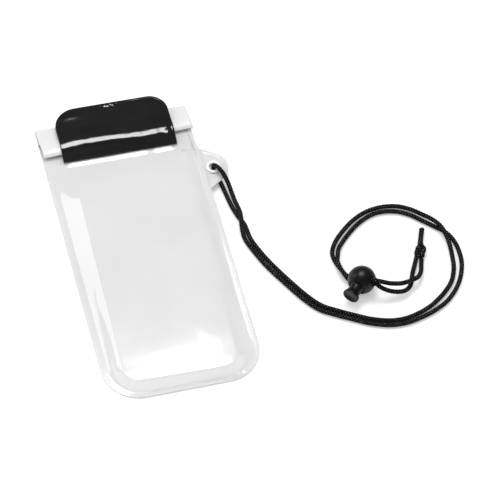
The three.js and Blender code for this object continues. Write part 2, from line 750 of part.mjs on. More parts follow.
// Cord, doubled through the eyelet: each run starts in the eyelet and ends at the knot
const upperRun = [
  [0, 0, 4.9], [0, -0.1, 6.3], [0.6, -1.1, 7.8], [1.8, -3.3, 8.5], [3.2, -6.2, 8.1], [4.5, -9.3, 6.8],
  [5.5, -12.6, 5], [6.2, -16.3, 3.2], [6.6, -20.5, 2.1], [6.8, -25, 2.3], [7, -30, 3.5], [7.1, -34.5, 4.4],
  [6.7, -38.7, 4.5], [5.9, -43, 3.8], [5.6, -47.7, 2.1], [6.1, -53.2, 1.45], [9.6, -64.1, 1.45],
  [13.8, -74.3, 1.45], [20.7, -87.2, 1.45], [27.7, -99.4, 1.45], [34.6, -108.3, 1.45], [42.7, -113.8, 1.45],
  [50.9, -118.5, 1.45], [61.1, -124, 1.45], [72.1, -127.6, 1.45], [82.3, -128.1, 1.45],
  [92.3, -126.1, 1.45], [100.6, -123.3, 1.45], [108.6, -119.1, 1.45], [115.6, -112.9, 1.45],
  [121.4, -105, 1.45], [125.3, -95.6, 1.45], [126.4, -86.9, 1.45], [125.6, -78.9, 1.45],
  [122.4, -71.9, 1.45], [117.2, -66.7, 1.45], [111.5, -61.3, 1.45], [105.7, -55.9, 1.45],
  [98.7, -51.9, 1.45], [90, -50.2, 1.45], [81.9, -51.4, 1.45], [73, -55.9, 1.45], [65, -62.3, 1.45],
  [59.4, -67.9, 1.6], [56.4, -72.3, 2.6], [54.8, -76.7, 4], [53.5, -80.3, 4.6], [53.7, -85.1, 4.9],
  [54.7, -89.1, 4.7], [56.15, -91.75, 4.8], [57.5, -93.1, 5.79], [62.15, -97.75, 9.59],
  [66.81, -102.41, 13.39], [68.4, -103.9, 14.3], [70.5, -105, 14.1], [73.2, -105.5, 13],
  [77.2, -105.8, 10.9], [82.3, -105.9, 9.2], [85.6, -105.6, 8.3], [89.6, -104.6, 7.4], [93.7, -103.1, 6.4],
  [96.9, -100.8, 5], [99.6, -96.9, 3.4], [101.4, -92.3, 2.2], [102.9, -87.6, 2.2],
];
const lowerRun = [
  [0, 0, 4.6], [0, -0.2, 3.4], [0.4, -1.5, 1.95], [1.2, -4.5, 1.45], [2, -9, 1.45], [2.7, -14, 1.45],
  [3.4, -20.8, 1.45], [4.3, -28, 1.45], [6, -35.3, 1.45], [8.2, -42.3, 1.45], [9.1, -52.6, 1.45],
  [12.4, -63.1, 1.45], [16.6, -72.9, 1.45], [23.3, -85.8, 1.45], [30.3, -97.8, 1.45], [36.8, -106.1, 1.45],
  [44.3, -111.2, 1.45], [52.3, -115.9, 1.45], [62.3, -121.2, 1.45], [72.7, -124.6, 1.45],
  [82.1, -125.1, 1.45], [91.5, -123, 1.45], [98.8, -120, 1.45], [104.4, -116.5, 1.45],
  [109.6, -112.5, 1.45], [115.6, -106.2, 1.45], [119.8, -97.4, 1.45], [121.7, -87.4, 1.5],
  [122.2, -79.5, 2.4], [121.3, -73.1, 4], [119.6, -68.1, 4.5], [116.7, -62.5, 3.3], [112.6, -57.1, 1.8],
  [106.9, -51.9, 1.45], [99.7, -48.2, 1.45], [90.6, -46.8, 1.45], [80.7, -48.2, 1.45], [71.4, -52.5, 1.45],
  [62.7, -59.2, 1.45], [56.5, -65.7, 1.45], [53.1, -71.9, 1.45], [52.9, -77.2, 1.45], [54, -81.9, 1.45],
  [55.4, -86.3, 1.45], [56.4, -90.1, 1.55], [57.3, -92.8, 2.05], [58.59, -94.19, 3.11],
  [63.25, -98.85, 6.91], [67.9, -103.5, 10.71], [69.6, -105.1, 11], [71.4, -106.5, 9.9],
  [73.6, -107.5, 8.6], [76.9, -108.5, 7], [81.7, -109.2, 5.6], [86.1, -108.6, 4.5], [89.3, -106.6, 3.8],
  [91.4, -103.9, 3.4], [93, -100.3, 3], [94.8, -96.3, 2.5], [97, -92.3, 2.1], [98.6, -89.3, 2],
  [100.2, -86.3, 2.2],
];
const tails = [
  [[105.75, -78.65, 1.46], [107.2, -74.2, 1.45], [108.5, -70.5, 1.45], [109.6, -67.2, 1.45]],
  [[105.5, -78.6, 4.35], [106.4, -75.4, 4.35], [107.6, -72, 4.35], [108.9, -68.9, 4.35]],
];

// The steps of a run fall on its own points, closer together where it bends
class Route extends THREE.CatmullRomCurve3 {
  getUtoTmapping(u) {
    return u;
  }
}

function cordTube(points) {
  const section = [];
  for (let i = 0; i < CORD_SIDES; i += 1) {
    const angle = (2 * Math.PI * (i + 0.5)) / CORD_SIDES;
    section.push(new THREE.Vector2(cordHalf * Math.cos(angle), cordHalf * Math.sin(angle)));
  }
  return new THREE.ExtrudeGeometry(new THREE.Shape(section), {
    steps: points.length - 1,
    extrudePath: new Route(points.map((p) => new THREE.Vector3(...p)), false, 'centripetal'),
  });
}

function makeKnot() {
  const knot = new THREE.SphereGeometry(0.5, 18, 12);
  knot.scale(KNOT_LENGTH, KNOT_WIDTH, KNOT_THICKNESS).rotateZ(KNOT_TURN);
  return knot.translate(KNOT_AT.x, KNOT_AT.y, KNOT_AT.z);
}

addPiece('back_sheet', makeBackSheet(), milkyFilm);
addPiece('front_sheet', makeFrontSheet(), clearFilm);
addPiece('seal_groove_strip', makeSealGroove(), sealPlastic);
addPiece('seal_rib_strip', makeSealRib(), sealPlastic);
addPiece('tab_lining', tabLayer(0), blackFilm);
addPiece('tab_cover', tabLayer(TAB_LAYER + TAB_GAP), blackFilm);
const flapTop = outerFlapUnder + FILM;
addPiece('loop_patch', patch(flapTop, flapTop + PATCH_THICKNESS), blackFleece);
addPiece('hook_patch', patch(tabOverCrest - PATCH_THICKNESS, tabOverCrest), blackFleece);
addPiece('eyelet', makeEyelet(), whitePlastic);
addPiece('eyelet_washer', makeWasher(), whitePlastic);
addPiece('lock_ball', makeBall(), blackPlastic, lock);
addPiece('lock_plunger', makePlunger(), blackPlastic, lock);
addPiece('lock_spring', makeSpring(), springSteel, lock);
addPiece('cord_upper_run', cordTube(upperRun), blackBraid, neckCord);
addPiece('cord_lower_run', cordTube(lowerRun), blackBraid, neckCord);
addPiece('cord_knot', makeKnot(), blackBraid, neckCord);
tails.forEach((points, i) => addPiece(`cord_tail_${i + 1}`, cordTube(points), blackBraid, neckCord));

// The part's origin is under the middle of the pouch with its lug and tab
pouch.position.set(-LUG_REACH / 2, -tabEnd / 2, 0);
const part = new THREE.Group();
part.add(pouch);

export default part;
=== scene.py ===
import math

import bmesh
import bpy
import numpy as np
from mathutils import Matrix, Vector, noise


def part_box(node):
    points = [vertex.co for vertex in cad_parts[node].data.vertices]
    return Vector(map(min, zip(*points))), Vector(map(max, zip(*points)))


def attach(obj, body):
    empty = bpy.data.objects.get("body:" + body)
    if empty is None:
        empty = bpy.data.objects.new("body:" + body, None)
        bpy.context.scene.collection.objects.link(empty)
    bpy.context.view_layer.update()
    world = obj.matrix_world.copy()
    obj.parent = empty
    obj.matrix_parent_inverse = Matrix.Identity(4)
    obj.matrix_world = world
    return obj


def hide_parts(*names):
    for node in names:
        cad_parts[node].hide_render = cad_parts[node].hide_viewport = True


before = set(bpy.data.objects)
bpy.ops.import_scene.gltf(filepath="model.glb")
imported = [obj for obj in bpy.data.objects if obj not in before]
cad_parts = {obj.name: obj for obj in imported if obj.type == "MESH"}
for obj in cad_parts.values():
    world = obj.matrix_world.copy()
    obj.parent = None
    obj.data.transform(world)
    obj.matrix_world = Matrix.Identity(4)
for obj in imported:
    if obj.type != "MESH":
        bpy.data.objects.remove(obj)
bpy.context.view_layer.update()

MM = 0.001
FILM = 0.5 * MM
WIDTH = 92 * MM
LENGTH = 194 * MM
HALF = WIDTH / 2

back_low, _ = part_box("back_sheet")
ORIGIN = Vector((back_low.x + HALF, back_low.y, 0))

# Camera
CAMERA_AT = Vector((-0.253927, -0.735043, 1.261748))
CAMERA_RIGHT = Vector((0.963318, -0.259119, 0.069825))
CAMERA_UP = Vector((0.175542, 0.805229, 0.566384))
CAMERA_LENS = 190
CAMERA_SENSOR = 36

# Cord: points in millimetres; one without a height lies on the table
CORD = 2.8 * MM
CORD_LYING = 1.45
UPPER_RUN = [
    (51, 143.5, 4.9), (51, 143.4, 6.3), (51.6, 142.4, 7.8), (52.8, 140.2, 8.5), (54.2, 137.3, 8.1),
    (55.5, 134.2, 6.8), (56.5, 130.9, 5), (57.2, 127.2, 3.2), (57.6, 123, 2.1), (57.8, 118.5, 2.3),
    (58, 113.5, 3.5), (58.1, 109, 4.4), (57.7, 104.8, 4.5), (56.9, 100.5, 3.8), (56.6, 95.8, 2.1),
    (57.1, 90.3), (60.6, 79.4), (64.8, 69.2), (71.7, 56.3), (78.7, 44.1), (85.6, 35.2), (93.7, 29.7),
    (101.9, 25), (112.1, 19.5), (123.1, 15.9), (133.3, 15.4), (143.3, 17.4), (151.6, 20.2),
    (159.6, 24.4), (166.6, 30.6), (172.4, 38.5), (176.3, 47.9), (177.4, 56.6), (176.6, 64.6),
    (173.4, 71.6), (168.2, 76.8), (162.5, 82.2), (156.7, 87.6), (149.7, 91.6), (141, 93.3),
    (132.9, 92.1), (124, 87.6), (116, 81.2), (110.4, 75.6, 1.6), (107.4, 71.2, 2.6), (105.8, 66.8, 4),
    (104.5, 63.2, 4.6), (104.7, 58.4, 4.9), (105.7, 54.4, 4.7), (107.15, 51.75, 4.8),
    (108.5, 50.4, 5.79), (113.15, 45.75, 9.59), (117.81, 41.09, 13.39), (119.4, 39.6, 14.3),
    (121.5, 38.5, 14.1), (124.2, 38, 13), (128.2, 37.7, 10.9), (133.3, 37.6, 9.2), (136.6, 37.9, 8.3),
    (140.6, 38.9, 7.4), (144.7, 40.4, 6.4), (147.9, 42.7, 5), (150.6, 46.6, 3.4), (152.4, 51.2, 2.2),
    (153.9, 55.9, 2.2),
]
LOWER_RUN = [
    (51, 143.5, 4.6), (51, 143.3, 3.4), (51.4, 142, 1.95), (52.2, 139), (53, 134.5), (53.7, 129.5),
    (54.4, 122.7), (55.3, 115.5), (57, 108.2), (59.2, 101.2), (60.1, 90.9), (63.4, 80.4), (67.6, 70.6),
    (74.3, 57.7), (81.3, 45.7), (87.8, 37.4), (95.3, 32.3), (103.3, 27.6), (113.3, 22.3), (123.7, 18.9),
    (133.1, 18.4), (142.5, 20.5), (149.8, 23.5), (155.4, 27), (160.6, 31), (166.6, 37.3), (170.8, 46.1),
    (172.7, 56.1, 1.5), (173.2, 64, 2.4), (172.3, 70.4, 4), (170.6, 75.4, 4.5), (167.7, 81, 3.3),
    (163.6, 86.4, 1.8), (157.9, 91.6), (150.7, 95.3), (141.6, 96.7), (131.7, 95.3), (122.4, 91),
    (113.7, 84.3), (107.5, 77.8), (104.1, 71.6), (103.9, 66.3), (105, 61.6), (106.4, 57.2),
    (107.4, 53.4, 1.55), (108.3, 50.7, 2.05), (109.59, 49.31, 3.11), (114.25, 44.65, 6.91),
    (118.9, 40, 10.71), (120.6, 38.4, 11), (122.4, 37, 9.9), (124.6, 36, 8.6), (127.9, 35, 7),
    (132.7, 34.3, 5.6), (137.1, 34.9, 4.5), (140.3, 36.9, 3.8), (142.4, 39.6, 3.4), (144, 43.2, 3),
    (145.8, 47.2, 2.5), (148, 51.2, 2.1), (149.6, 54.2, 2), (151.2, 57.2, 2.2),
]
TAILS = [
    [(156.35, 64.95, 1.46), (158, 69.5), (159.5, 73.3), (160.85, 76.4)],
    [(155.45, 65.05, 4.35), (156.8, 68.3, 4.35), (158.1, 71.6, 4.35), (159.3, 74.5, 4.3)],
]
CORD_SIDES = 36
CORD_STEP = 0.3 * MM
BRAID_STRANDS = 4
BRAID_PITCH = 7.2 * MM
BRAID_DEPTH = 0.26
BRAID_UNDER = 0.35
# Sharpness of the crown mask, which paints the braid's crowns a paler colour as painted glints and raises
# their specular level
PAINTED_GLINT_SHARPNESS = 4

KNOT_AT = Vector((0.1547, 0.0608, 0.00295))
KNOT_TURN = math.radians(63)


# Helpers
def smooth(t):
    t = np.clip(t, 0, 1)
    return t * t * (3 - 2 * t)


def bump_line(d, start, end, slope):
    """A ridge between two distances from an edge: 1 on top, 0 outside."""
    return smooth((d - start + slope / 2) / slope) * (1 - smooth((d - end + slope / 2) / slope))


def ripple(x, y, wavelength, seed):
    """Smooth random waves over a plane, from -1 to 1."""
    return noise.noise(Vector((x / wavelength + seed, y / wavelength - seed, seed)))


def make_mesh(name, points, faces, material, slot, body="pouch", node=None):
    """A visible piece with smooth faces that rides on a body, and may stand for a solid."""
    mesh = bpy.data.meshes.new(name)
    moved = np.asarray(points, float).reshape(-1, 3) + np.array(ORIGIN)
    mesh.from_pydata([tuple(p) for p in moved], [], faces)
    mesh.validate()
    fix = bmesh.new()
    fix.from_mesh(mesh)
    bmesh.ops.recalc_face_normals(fix, faces=fix.faces)
    fix.to_mesh(mesh)
    fix.free()
    mesh.polygons.foreach_set("use_smooth", [True] * len(mesh.polygons))
    piece = bpy.data.objects.new(name, mesh)
    bpy.context.scene.collection.objects.link(piece)
    mesh.materials.append(material)
    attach(piece, body)
    if node:
        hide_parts(node)
    return piece


def closed_rings(rings, joined=False):
    """Points and faces of a body through rings of equal length, joined end to end or else capped."""
    count = len(rings[0])
    points = [p for ring in rings for p in ring]
    faces = []
    for s in range(len(rings) if joined else len(rings) - 1):
        a, b = s * count, (s + 1) % len(rings) * count
        faces += [(a + i, a + (i + 1) % count, b + (i + 1) % count, b + i) for i in range(count)]
    if not joined:
        faces.append(tuple(range(count))[::-1])
        faces.append(tuple(range((len(rings) - 1) * count, len(rings) * count)))
    return points, faces


def thick_grid(top, under):
    """Points and faces of a thin body between two grids of points of equal size."""
    rows, columns = len(top), len(top[0])
    points = [p for row in top for p in row] + [p for row in under for p in row]
    shift = rows * columns
    faces = []
    for r in range(rows - 1):
        for c in range(columns - 1):
            a = r * columns + c
            quad = (a, a + 1, a + columns + 1, a + columns)
            faces.append(quad)
            faces.append(tuple(i + shift for i in quad[::-1]))
    edge = list(range(columns))
    edge += [r * columns + columns - 1 for r in range(1, rows)]
    edge += [(rows - 1) * columns + c for c in range(columns - 2, -1, -1)]
    edge += [r * columns for r in range(rows - 2, 0, -1)]
    for i, a in enumerate(edge):
        b = edge[(i + 1) % len(edge)]
        faces.append((a, a + shift, b + shift, b))
    return points, faces


def lathe(profile, steps):
    """Points and faces of a profile of (radius, height) turned about +Z; it closes on itself."""
    angles = [2 * math.pi * i / steps for i in range(steps)]
    rings = [[(r * math.cos(a), r * math.sin(a), h) for r, h in profile] for a in angles]
    return closed_rings(rings, joined=True)


def chaikin(points, rounds):
    """Rounds the corners of an open line of points and keeps its ends."""
    for _ in range(rounds):
        out = [points[0]]
        for a, b in zip(points, points[1:]):
            out.append(a * 0.75 + b * 0.25)
            out.append(a * 0.25 + b * 0.75)
        out.append(points[-1])
        points = out
    return points


def in_metres(points):
    """Points of a cord in metres from its millimetre table."""
    return [(x * MM, y * MM, (z[0] if z else CORD_LYING) * MM) for x, y, *z in points]


def along(points, step):
    """Evenly spaced points on a smooth curve through the given ones, and its length."""
    parts = 24
    p = [Vector(q) for q in points]
    p = [p[0] * 2 - p[1]] + p + [p[-1] * 2 - p[-2]]
    fine = []
    for a, b, c, d in zip(p, p[1:], p[2:], p[3:]):
        ta = (c - a) / 2
        tb = (d - b) / 2
        for k in range(parts):
            t = k / parts
            fine.append(
                b * (2 * t**3 - 3 * t**2 + 1)
                + ta * (t**3 - 2 * t**2 + t)
                + c * (-2 * t**3 + 3 * t**2)
                + tb * (t**3 - t**2)
            )
    fine.append(p[-2])
    reach = [0.0]
    for a, b in zip(fine, fine[1:]):
        reach.append(reach[-1] + (b - a).length)
    count = max(2, round(reach[-1] / step))
    wanted = np.linspace(0, reach[-1], count + 1)
    xyz = np.array([tuple(q) for q in fine])
    return np.stack([np.interp(wanted, reach, xyz[:, i]) for i in range(3)], axis=1), reach[-1]


def tube(line, diameter, crown_painted_glints):
    """Points and faces of a round braid along a line; adds where its strands crown to the values of its
    painted glints.
    """
    tangents = np.gradient(line, axis=0)
    tangents /= np.linalg.norm(tangents, axis=1)[:, None]
    steep = abs(tangents[0][2]) >= 0.9
    side = np.cross(tangents[0], (1.0, 0.0, 0.0) if steep else (0.0, 0.0, 1.0))
    side /= np.linalg.norm(side)
    reach = np.concatenate([[0], np.cumsum(np.linalg.norm(np.diff(line, axis=0), axis=1))])
    angles = 2 * np.pi * np.arange(CORD_SIDES) / CORD_SIDES
    rings = []
    for i, centre in enumerate(line):
        side = side - tangents[i] * side.dot(tangents[i])
        side /= np.linalg.norm(side)
        other = np.cross(tangents[i], side)
        height, crown_painted_glint = braid(angles, reach[i])
        crown_painted_glints.extend(crown_painted_glint)
        radius = diameter / 2 * (1 - BRAID_DEPTH + BRAID_DEPTH * height)
        around = np.cos(angles)[:, None] * side + np.sin(angles)[:, None] * other
        rings.append([tuple(p) for p in centre + radius[:, None] * around])
    return closed_rings(rings)


def braid(angles, reach):
    """Height of a braid, from 0 in its valleys to 1 on its strands, and where a strand crowns, which sets
    its painted glints.
    """
    turn = angles / (2 * np.pi) * BRAID_STRANDS
    run = reach / BRAID_PITCH * BRAID_STRANDS
    one, two = turn + run, turn - run
    height_one = 1 - (2 * (one % 1) - 1) ** 2
    height_two = 1 - (2 * (two % 1) - 1) ** 2
    over = ((np.floor(one) + np.floor(two)) % 2) < 1
    height = np.maximum(
        height_one * np.where(over, 1, BRAID_UNDER), height_two * np.where(over, BRAID_UNDER, 1)
    )
    return height, (height_one * height_two) ** PAINTED_GLINT_SHARPNESS


# Materials
class Nodes:
    """The nodes of a material or a world, with short ways to add to them."""

    def __init__(self, owner):
        owner.use_nodes = True
        self.tree = owner.node_tree

    def put(self, node, inputs):
        """Sets inputs of a node: a socket is linked, anything else is the input's own value."""
        for key, value in inputs.items():
            if isinstance(value, bpy.types.NodeSocket):
                self.tree.links.new(value, node.inputs[key])
            else:
                node.inputs[key].default_value = value

    def add(self, kind, inputs):
        node = self.tree.nodes.new("ShaderNode" + kind)
        self.put(node, inputs)
        return node

    def place(self, scale=(1, 1, 1)):
        own = self.add("TexCoord", {}).outputs["Object"]
        return self.add("Mapping", {"Vector": own, "Scale": scale}).outputs["Vector"]

    def noise(self, vector, scale, detail=3.0, roughness=0.55):
        inputs = {"Vector": vector, "Scale": scale, "Detail": detail, "Roughness": roughness}
        return self.add("TexNoise", inputs).outputs["Fac"]

    def ramp(self, factor, *stops):
        node = self.add("ValToRGB", {"Fac": factor})
        elements = node.color_ramp.elements
        while len(elements) < len(stops):
            elements.new(0.5)
        for element, (position, colour) in zip(elements, stops):
            element.position = position
            element.color = (*colour, 1)
        return node.outputs["Color"]

    def spread(self, factor, low, high):
        return self.add("MapRange", {"Value": factor, "To Min": low, "To Max": high}).outputs["Result"]

    def bump(self, height, strength, distance, over=None):
        inputs = {"Height": height, "Strength": strength, "Distance": distance}
        if over is not None:
            inputs["Normal"] = over
        return self.add("Bump", inputs).outputs["Normal"]

    def math(self, operation, *values):
        node = self.add("Math", {})
        node.operation = operation
        self.put(node, dict(enumerate(values)))
        return node.outputs["Value"]


def new_material(name):
    material = bpy.data.materials.new(name)
    kit = Nodes(material)
    return material, kit, kit.tree.nodes["Principled BSDF"]


def grey(value):
    return (value, value, value)


def film_material(name, light, dark, alpha, roughness, gloss):
    """Soft film: faint clouding, long waves from the roll, and a skin that mirrors more edge on."""
    edge_power, edge_gloss = 5, 0.3
    material, kit, shader = new_material(name)
    place = kit.place()
    cloud = kit.noise(place, scale=28, detail=4)
    fine = kit.noise(place, scale=900)
    waves = kit.noise(kit.place((1, 0.35, 1)), scale=90, detail=2)
    normal = kit.bump(waves, strength=0.2, distance=0.25 * MM)
    normal = kit.bump(fine, strength=0.05, distance=0.04 * MM, over=normal)
    kit.put(shader, {
        "Base Color": kit.ramp(cloud, (0.3, dark), (0.7, light)),
        "Alpha": kit.spread(cloud, *alpha),
        "Roughness": 0.5,
        "Specular IOR Level": 0.1,
        "Normal": normal,
    })
    rough = kit.spread(fine, roughness * 0.7, roughness * 1.3)
    skin = kit.add("BsdfGlossy", {"Color": (1, 1, 1, 1), "Roughness": rough, "Normal": normal})
    facing = kit.add("LayerWeight", {"Blend": 0.5, "Normal": normal}).outputs["Facing"]
    share = kit.math("MULTIPLY_ADD", kit.math("POWER", facing, edge_power), edge_gloss, gloss)
    both = kit.add("MixShader", {"Fac": share, 1: shader.outputs["BSDF"], 2: skin.outputs["BSDF"]})
    kit.put(kit.tree.nodes["Material Output"], {"Surface": both.outputs["Shader"]})
    return material


def tab_material():
    """Black soft film with a high gloss, its long soft dents and a fine skin."""
    material, kit, shader = new_material("black_film_looks")
    place = kit.place()
    cloud = kit.noise(place, scale=60)
    fine = kit.noise(place, scale=1400)
    waves = kit.noise(kit.place((0.5, 1, 1)), scale=70, detail=2)
    normal = kit.bump(waves, strength=0.3, distance=0.5 * MM)
    kit.put(shader, {
        "Base Color": kit.ramp(cloud, (0.3, (0.003, 0.003, 0.0033)), (0.7, (0.006, 0.006, 0.0064))),
        "Roughness": kit.spread(fine, 0.1, 0.19),
        "Normal": kit.bump(fine, strength=0.08, distance=0.04 * MM, over=normal),
        "IOR": 1.8,
    })
    return material


def moulded_material(name, light, dark, roughness, gloss=0.5):
    """Moulded plastic with a fine grain and faint scuffs."""
    material, kit, shader = new_material(name)
    place = kit.place()
    cloud = kit.noise(place, scale=260, detail=4)
    scuffs = kit.noise(kit.place((1, 1, 0.2)), scale=700, detail=6, roughness=0.7)
    normal = kit.bump(kit.noise(place, scale=2600, detail=2), strength=0.12, distance=0.04 * MM)
    kit.put(shader, {
        "Base Color": kit.ramp(cloud, (0.3, dark), (0.75, light)),
        "Roughness": kit.spread(scuffs, roughness - 0.06, roughness + 0.12),
        "Normal": kit.bump(scuffs, strength=0.1, distance=0.06 * MM, over=normal),
        "IOR": 1.5,
        "Specular IOR Level": gloss,
    })
    return material


def fibre_material(name, light, dark, fuzz, sheen, with_painted_glints=False):
    """Black yarn: fine fibres of uneven tone, and painted glints, a paler colour on the crowns of its
    braid, where it has one.
    """
    material, kit, shader = new_material(name)
    fibres = kit.noise(kit.place(), scale=fuzz, detail=4, roughness=0.65)
    colour = kit.ramp(fibres, (0.35, dark), (0.62, light), (0.75, [3 * v for v in light]))
    shine = 0.2
    # On a braid the colour stays dark except on the strands' crowns, a painted glint; the specular level
    # rises there too
    if with_painted_glints:
        crown_painted_glint = kit.add("Attribute", {})
        crown_painted_glint.attribute_name = "crown_painted_glint"
        mix = kit.add("Mix", {})
        mix.data_type = "RGBA"
        kit.put(mix, {0: crown_painted_glint.outputs["Fac"], 6: (*dark, 1), 7: colour})
        colour = mix.outputs[2]
        shine = kit.spread(crown_painted_glint.outputs["Fac"], 0.0, 0.3)
    kit.put(shader, {
        "Base Color": colour,
        "Specular IOR Level": shine,
        "Roughness": kit.spread(fibres, 0.36, 0.6),
        "Normal": kit.bump(fibres, strength=0.4, distance=0.06 * MM),
        "Sheen Weight": sheen,
        "Sheen Roughness": 0.35,
    })
    return material


def steel_material():
    """Drawn spring wire with fine streaks."""
    material, kit, shader = new_material("spring_steel_looks")
    streaks = kit.noise(kit.place(), scale=1800)
    kit.put(shader, {
        "Base Color": kit.ramp(streaks, (0.3, (0.42, 0.43, 0.45)), (0.7, (0.66, 0.67, 0.68))),
        "Roughness": kit.spread(streaks, 0.2, 0.42),
        "Metallic": 1,
    })
    return material


CLEAR_FILM = film_material(
    "clear_film_looks", grey(0.88), grey(0.82), alpha=(0.08, 0.13), roughness=0.09, gloss=0.05
)
MILKY_FILM = film_material(
    "milky_film_looks", grey(0.89), grey(0.85), alpha=(0.86, 0.93), roughness=0.2, gloss=0.025
)
# The back sheet's milky film where it turns over the mouth, glossier and a little darker; the darker
# colour is painted shade on the doubled band
SHADED_FOLD_FILM = film_material(
    "folded_film_shaded_looks", grey(0.83), grey(0.79), alpha=(0.84, 0.92), roughness=0.18, gloss=0.04
)
SEAL_PLASTIC = moulded_material("seal_plastic_looks", grey(0.92), grey(0.84), roughness=0.25)
BLACK_FILM = tab_material()
FLEECE = fibre_material("black_fleece_looks", grey(0.014), grey(0.006), fuzz=2200, sheen=0.2)
WHITE_PLASTIC = moulded_material("white_plastic_looks", grey(0.93), grey(0.86), roughness=0.32)
BLACK_PLASTIC = moulded_material(
    "black_plastic_looks", grey(0.006), grey(0.003), roughness=0.33, gloss=0.42
)
# The paler grey is the colour of the painted glints on the braid's crowns
BRAID = fibre_material(
    "black_braid_looks", grey(0.18), grey(0.0005), fuzz=1200, sheen=0.0, with_painted_glints=True
)
SPRING_STEEL = steel_material()


def make_camera():
    camera = bpy.data.objects.new("camera", bpy.data.cameras.new("camera"))
    turn = Matrix((CAMERA_RIGHT, CAMERA_UP, CAMERA_RIGHT.cross(CAMERA_UP))).transposed()
    camera.matrix_world = Matrix.Translation(CAMERA_AT + ORIGIN) @ turn.to_4x4()
    camera.data.lens = CAMERA_LENS
    camera.data.sensor_width = CAMERA_SENSOR
    camera.data.clip_start = 0.01
    camera.data.clip_end = 100
    bpy.context.scene.collection.objects.link(camera)
    bpy.context.scene.camera = camera


make_camera()


# Cord, doubled through the eyelet, with its knot and cut ends
def make_braid(name, points, faces, crown_painted_glints, node):
    """A braided piece that stores where its strands crown, for the yarn's painted glints and its higher
    specular level there.
    """
    piece = make_mesh(name, points, faces, BRAID, "black_braid", node=node)
    values = np.zeros(len(piece.data.vertices), np.float32)
    values[: len(crown_painted_glints)] = crown_painted_glints
    piece.data.attributes.new("crown_painted_glint", "FLOAT", "POINT").data.foreach_set("value", values)
    return piece


def make_cord_run(name, points, node):
    line, length = along(in_metres(points), CORD_STEP)
    crown_painted_glints = []
    return make_braid(name, *tube(line, CORD, crown_painted_glints), crown_painted_glints, node), line, length


# Strands of the knot, in millimetres about its middle: along it, across it and up
KNOT_STRANDS = [
    [(-4.3, 1, -0.9), (-2.6, 1.9, 0.1), (-0.4, 1.8, 0.9), (2, 1.2, 1), (4.4, -0.1, 0.9)],
    [
        (4.5, 0, -1.45), (2.9, -1.5, -0.6), (1.2, -1.9, 0.4),
        (-1, -1.7, 0.9), (-3.3, -1, 0.3), (-4.4, 0.2, -0.9),
    ],
    [
        (-2.4, -0.6, -1.2), (-3, -1.8, -0.4), (-2.4, -1.1, 1.2),
        (-0.6, 0.3, 1.6), (0.9, 1.5, 1), (1.5, 1.9, -0.4),
    ],
    [(-4, 0.2, -1.4), (-1.2, -0.3, -1.45), (1.6, 0.3, -1.45), (4.4, 0.1, -1.45)],
]


def make_knot():
    """The knot that joins the two ends, as four strands laid over one another."""
    run = Vector((math.cos(KNOT_TURN), math.sin(KNOT_TURN), 0))
    across = Vector((-run.y, run.x, 0))
    points, faces, crown_painted_glints = [], [], []
    for strand in KNOT_STRANDS:
        line = [KNOT_AT + (run * a + across * b + Vector((0, 0, c))) * MM for a, b, c in strand]
        centre, _ = along(line, CORD_STEP)
        more_points, more_faces = tube(centre, CORD, crown_painted_glints)
        faces += [tuple(i + len(points) for i in f) for f in more_faces]
        points += more_points
    return make_braid("knot", points, faces, crown_painted_glints, "cord_knot")


def make_tail(number, points):
    """A cut end: the braid, and the short fibres that spread from its cut."""
    fibres, fibre_radius, inside_knot = 46, 0.11 * MM, 1.5 * MM
    points = in_metres(points)
    start = Vector(points[0])
    towards = (start - Vector(points[1])).normalized()
    line, _ = along([start + towards * inside_knot, *points], CORD_STEP)
    crown_painted_glints = []
    body, faces = tube(line, CORD * 0.95, crown_painted_glints)
    end = Vector(line[-1])
    run = (end - Vector(line[-4])).normalized()
    side = run.cross(Vector((0, 0, 1))).normalized()
    lift = side.cross(run)
    golden = math.pi * (3 - math.sqrt(5))
    for i in range(fibres):
        reach = CORD * 0.46 * math.sqrt((i + 0.5) / fibres)
        angle = golden * i + number
        out = side * math.cos(angle) + lift * math.sin(angle)
        root = end + out * reach - run * 0.2 * MM
        wander = ripple(i * 1.7, number * 3.1, 1, 5.3)
        tip = root + run * (0.8 + 0.5 * wander) * MM + out * reach * (0.25 + 0.3 * wander)
        base = len(body)
        for turn in (0, 2 * math.pi / 3, 4 * math.pi / 3):
            body.append(tuple(root + (side * math.cos(turn) + lift * math.sin(turn)) * fibre_radius))
        body.append(tuple(tip))
        spike = ((0, 1, 3), (1, 2, 3), (2, 0, 3), (2, 1, 0))
        faces += [tuple(base + i for i in f) for f in spike]
    return make_braid(f"tail_{number}", body, faces, crown_painted_glints, f"cord_tail_{number}")


upper, upper_line, upper_length = make_cord_run("upper_cord", UPPER_RUN, "cord_upper_run")
lower, lower_line, lower_length = make_cord_run("lower_cord", LOWER_RUN, "cord_lower_run")
knot = make_knot()
tails = [make_tail(i + 1, points) for i, points in enumerate(TAILS)]


# Film sheets
LOW_STEPS, HIGH_STEPS, SIDE_STEPS, END_STEPS = 24, 12, 64, 34  # along an outline's corners and sides
CORNER = 22 * MM
TOP_CORNER = 0.6 * MM
PANEL_TOP = 184 * MM
SHEET_GAP = 0.04 * MM

# Weld round the edge, up to the tab's foot
WELD_START = 0.9 * MM
WELD_END = 2.1 * MM
WELD_SLOPE = 0.35 * MM
WELD_HEIGHT = 0.28 * MM
WELD_TOP = 162 * MM
SEAM = 2.9 * MM
SEAM_TOP = 166.5 * MM
EDGE_INSETS = (0, 0.15, 0.5, 0.72, 0.9, 1.08, 1.3, 1.6, 1.9, 2.1, 2.28, 2.5)

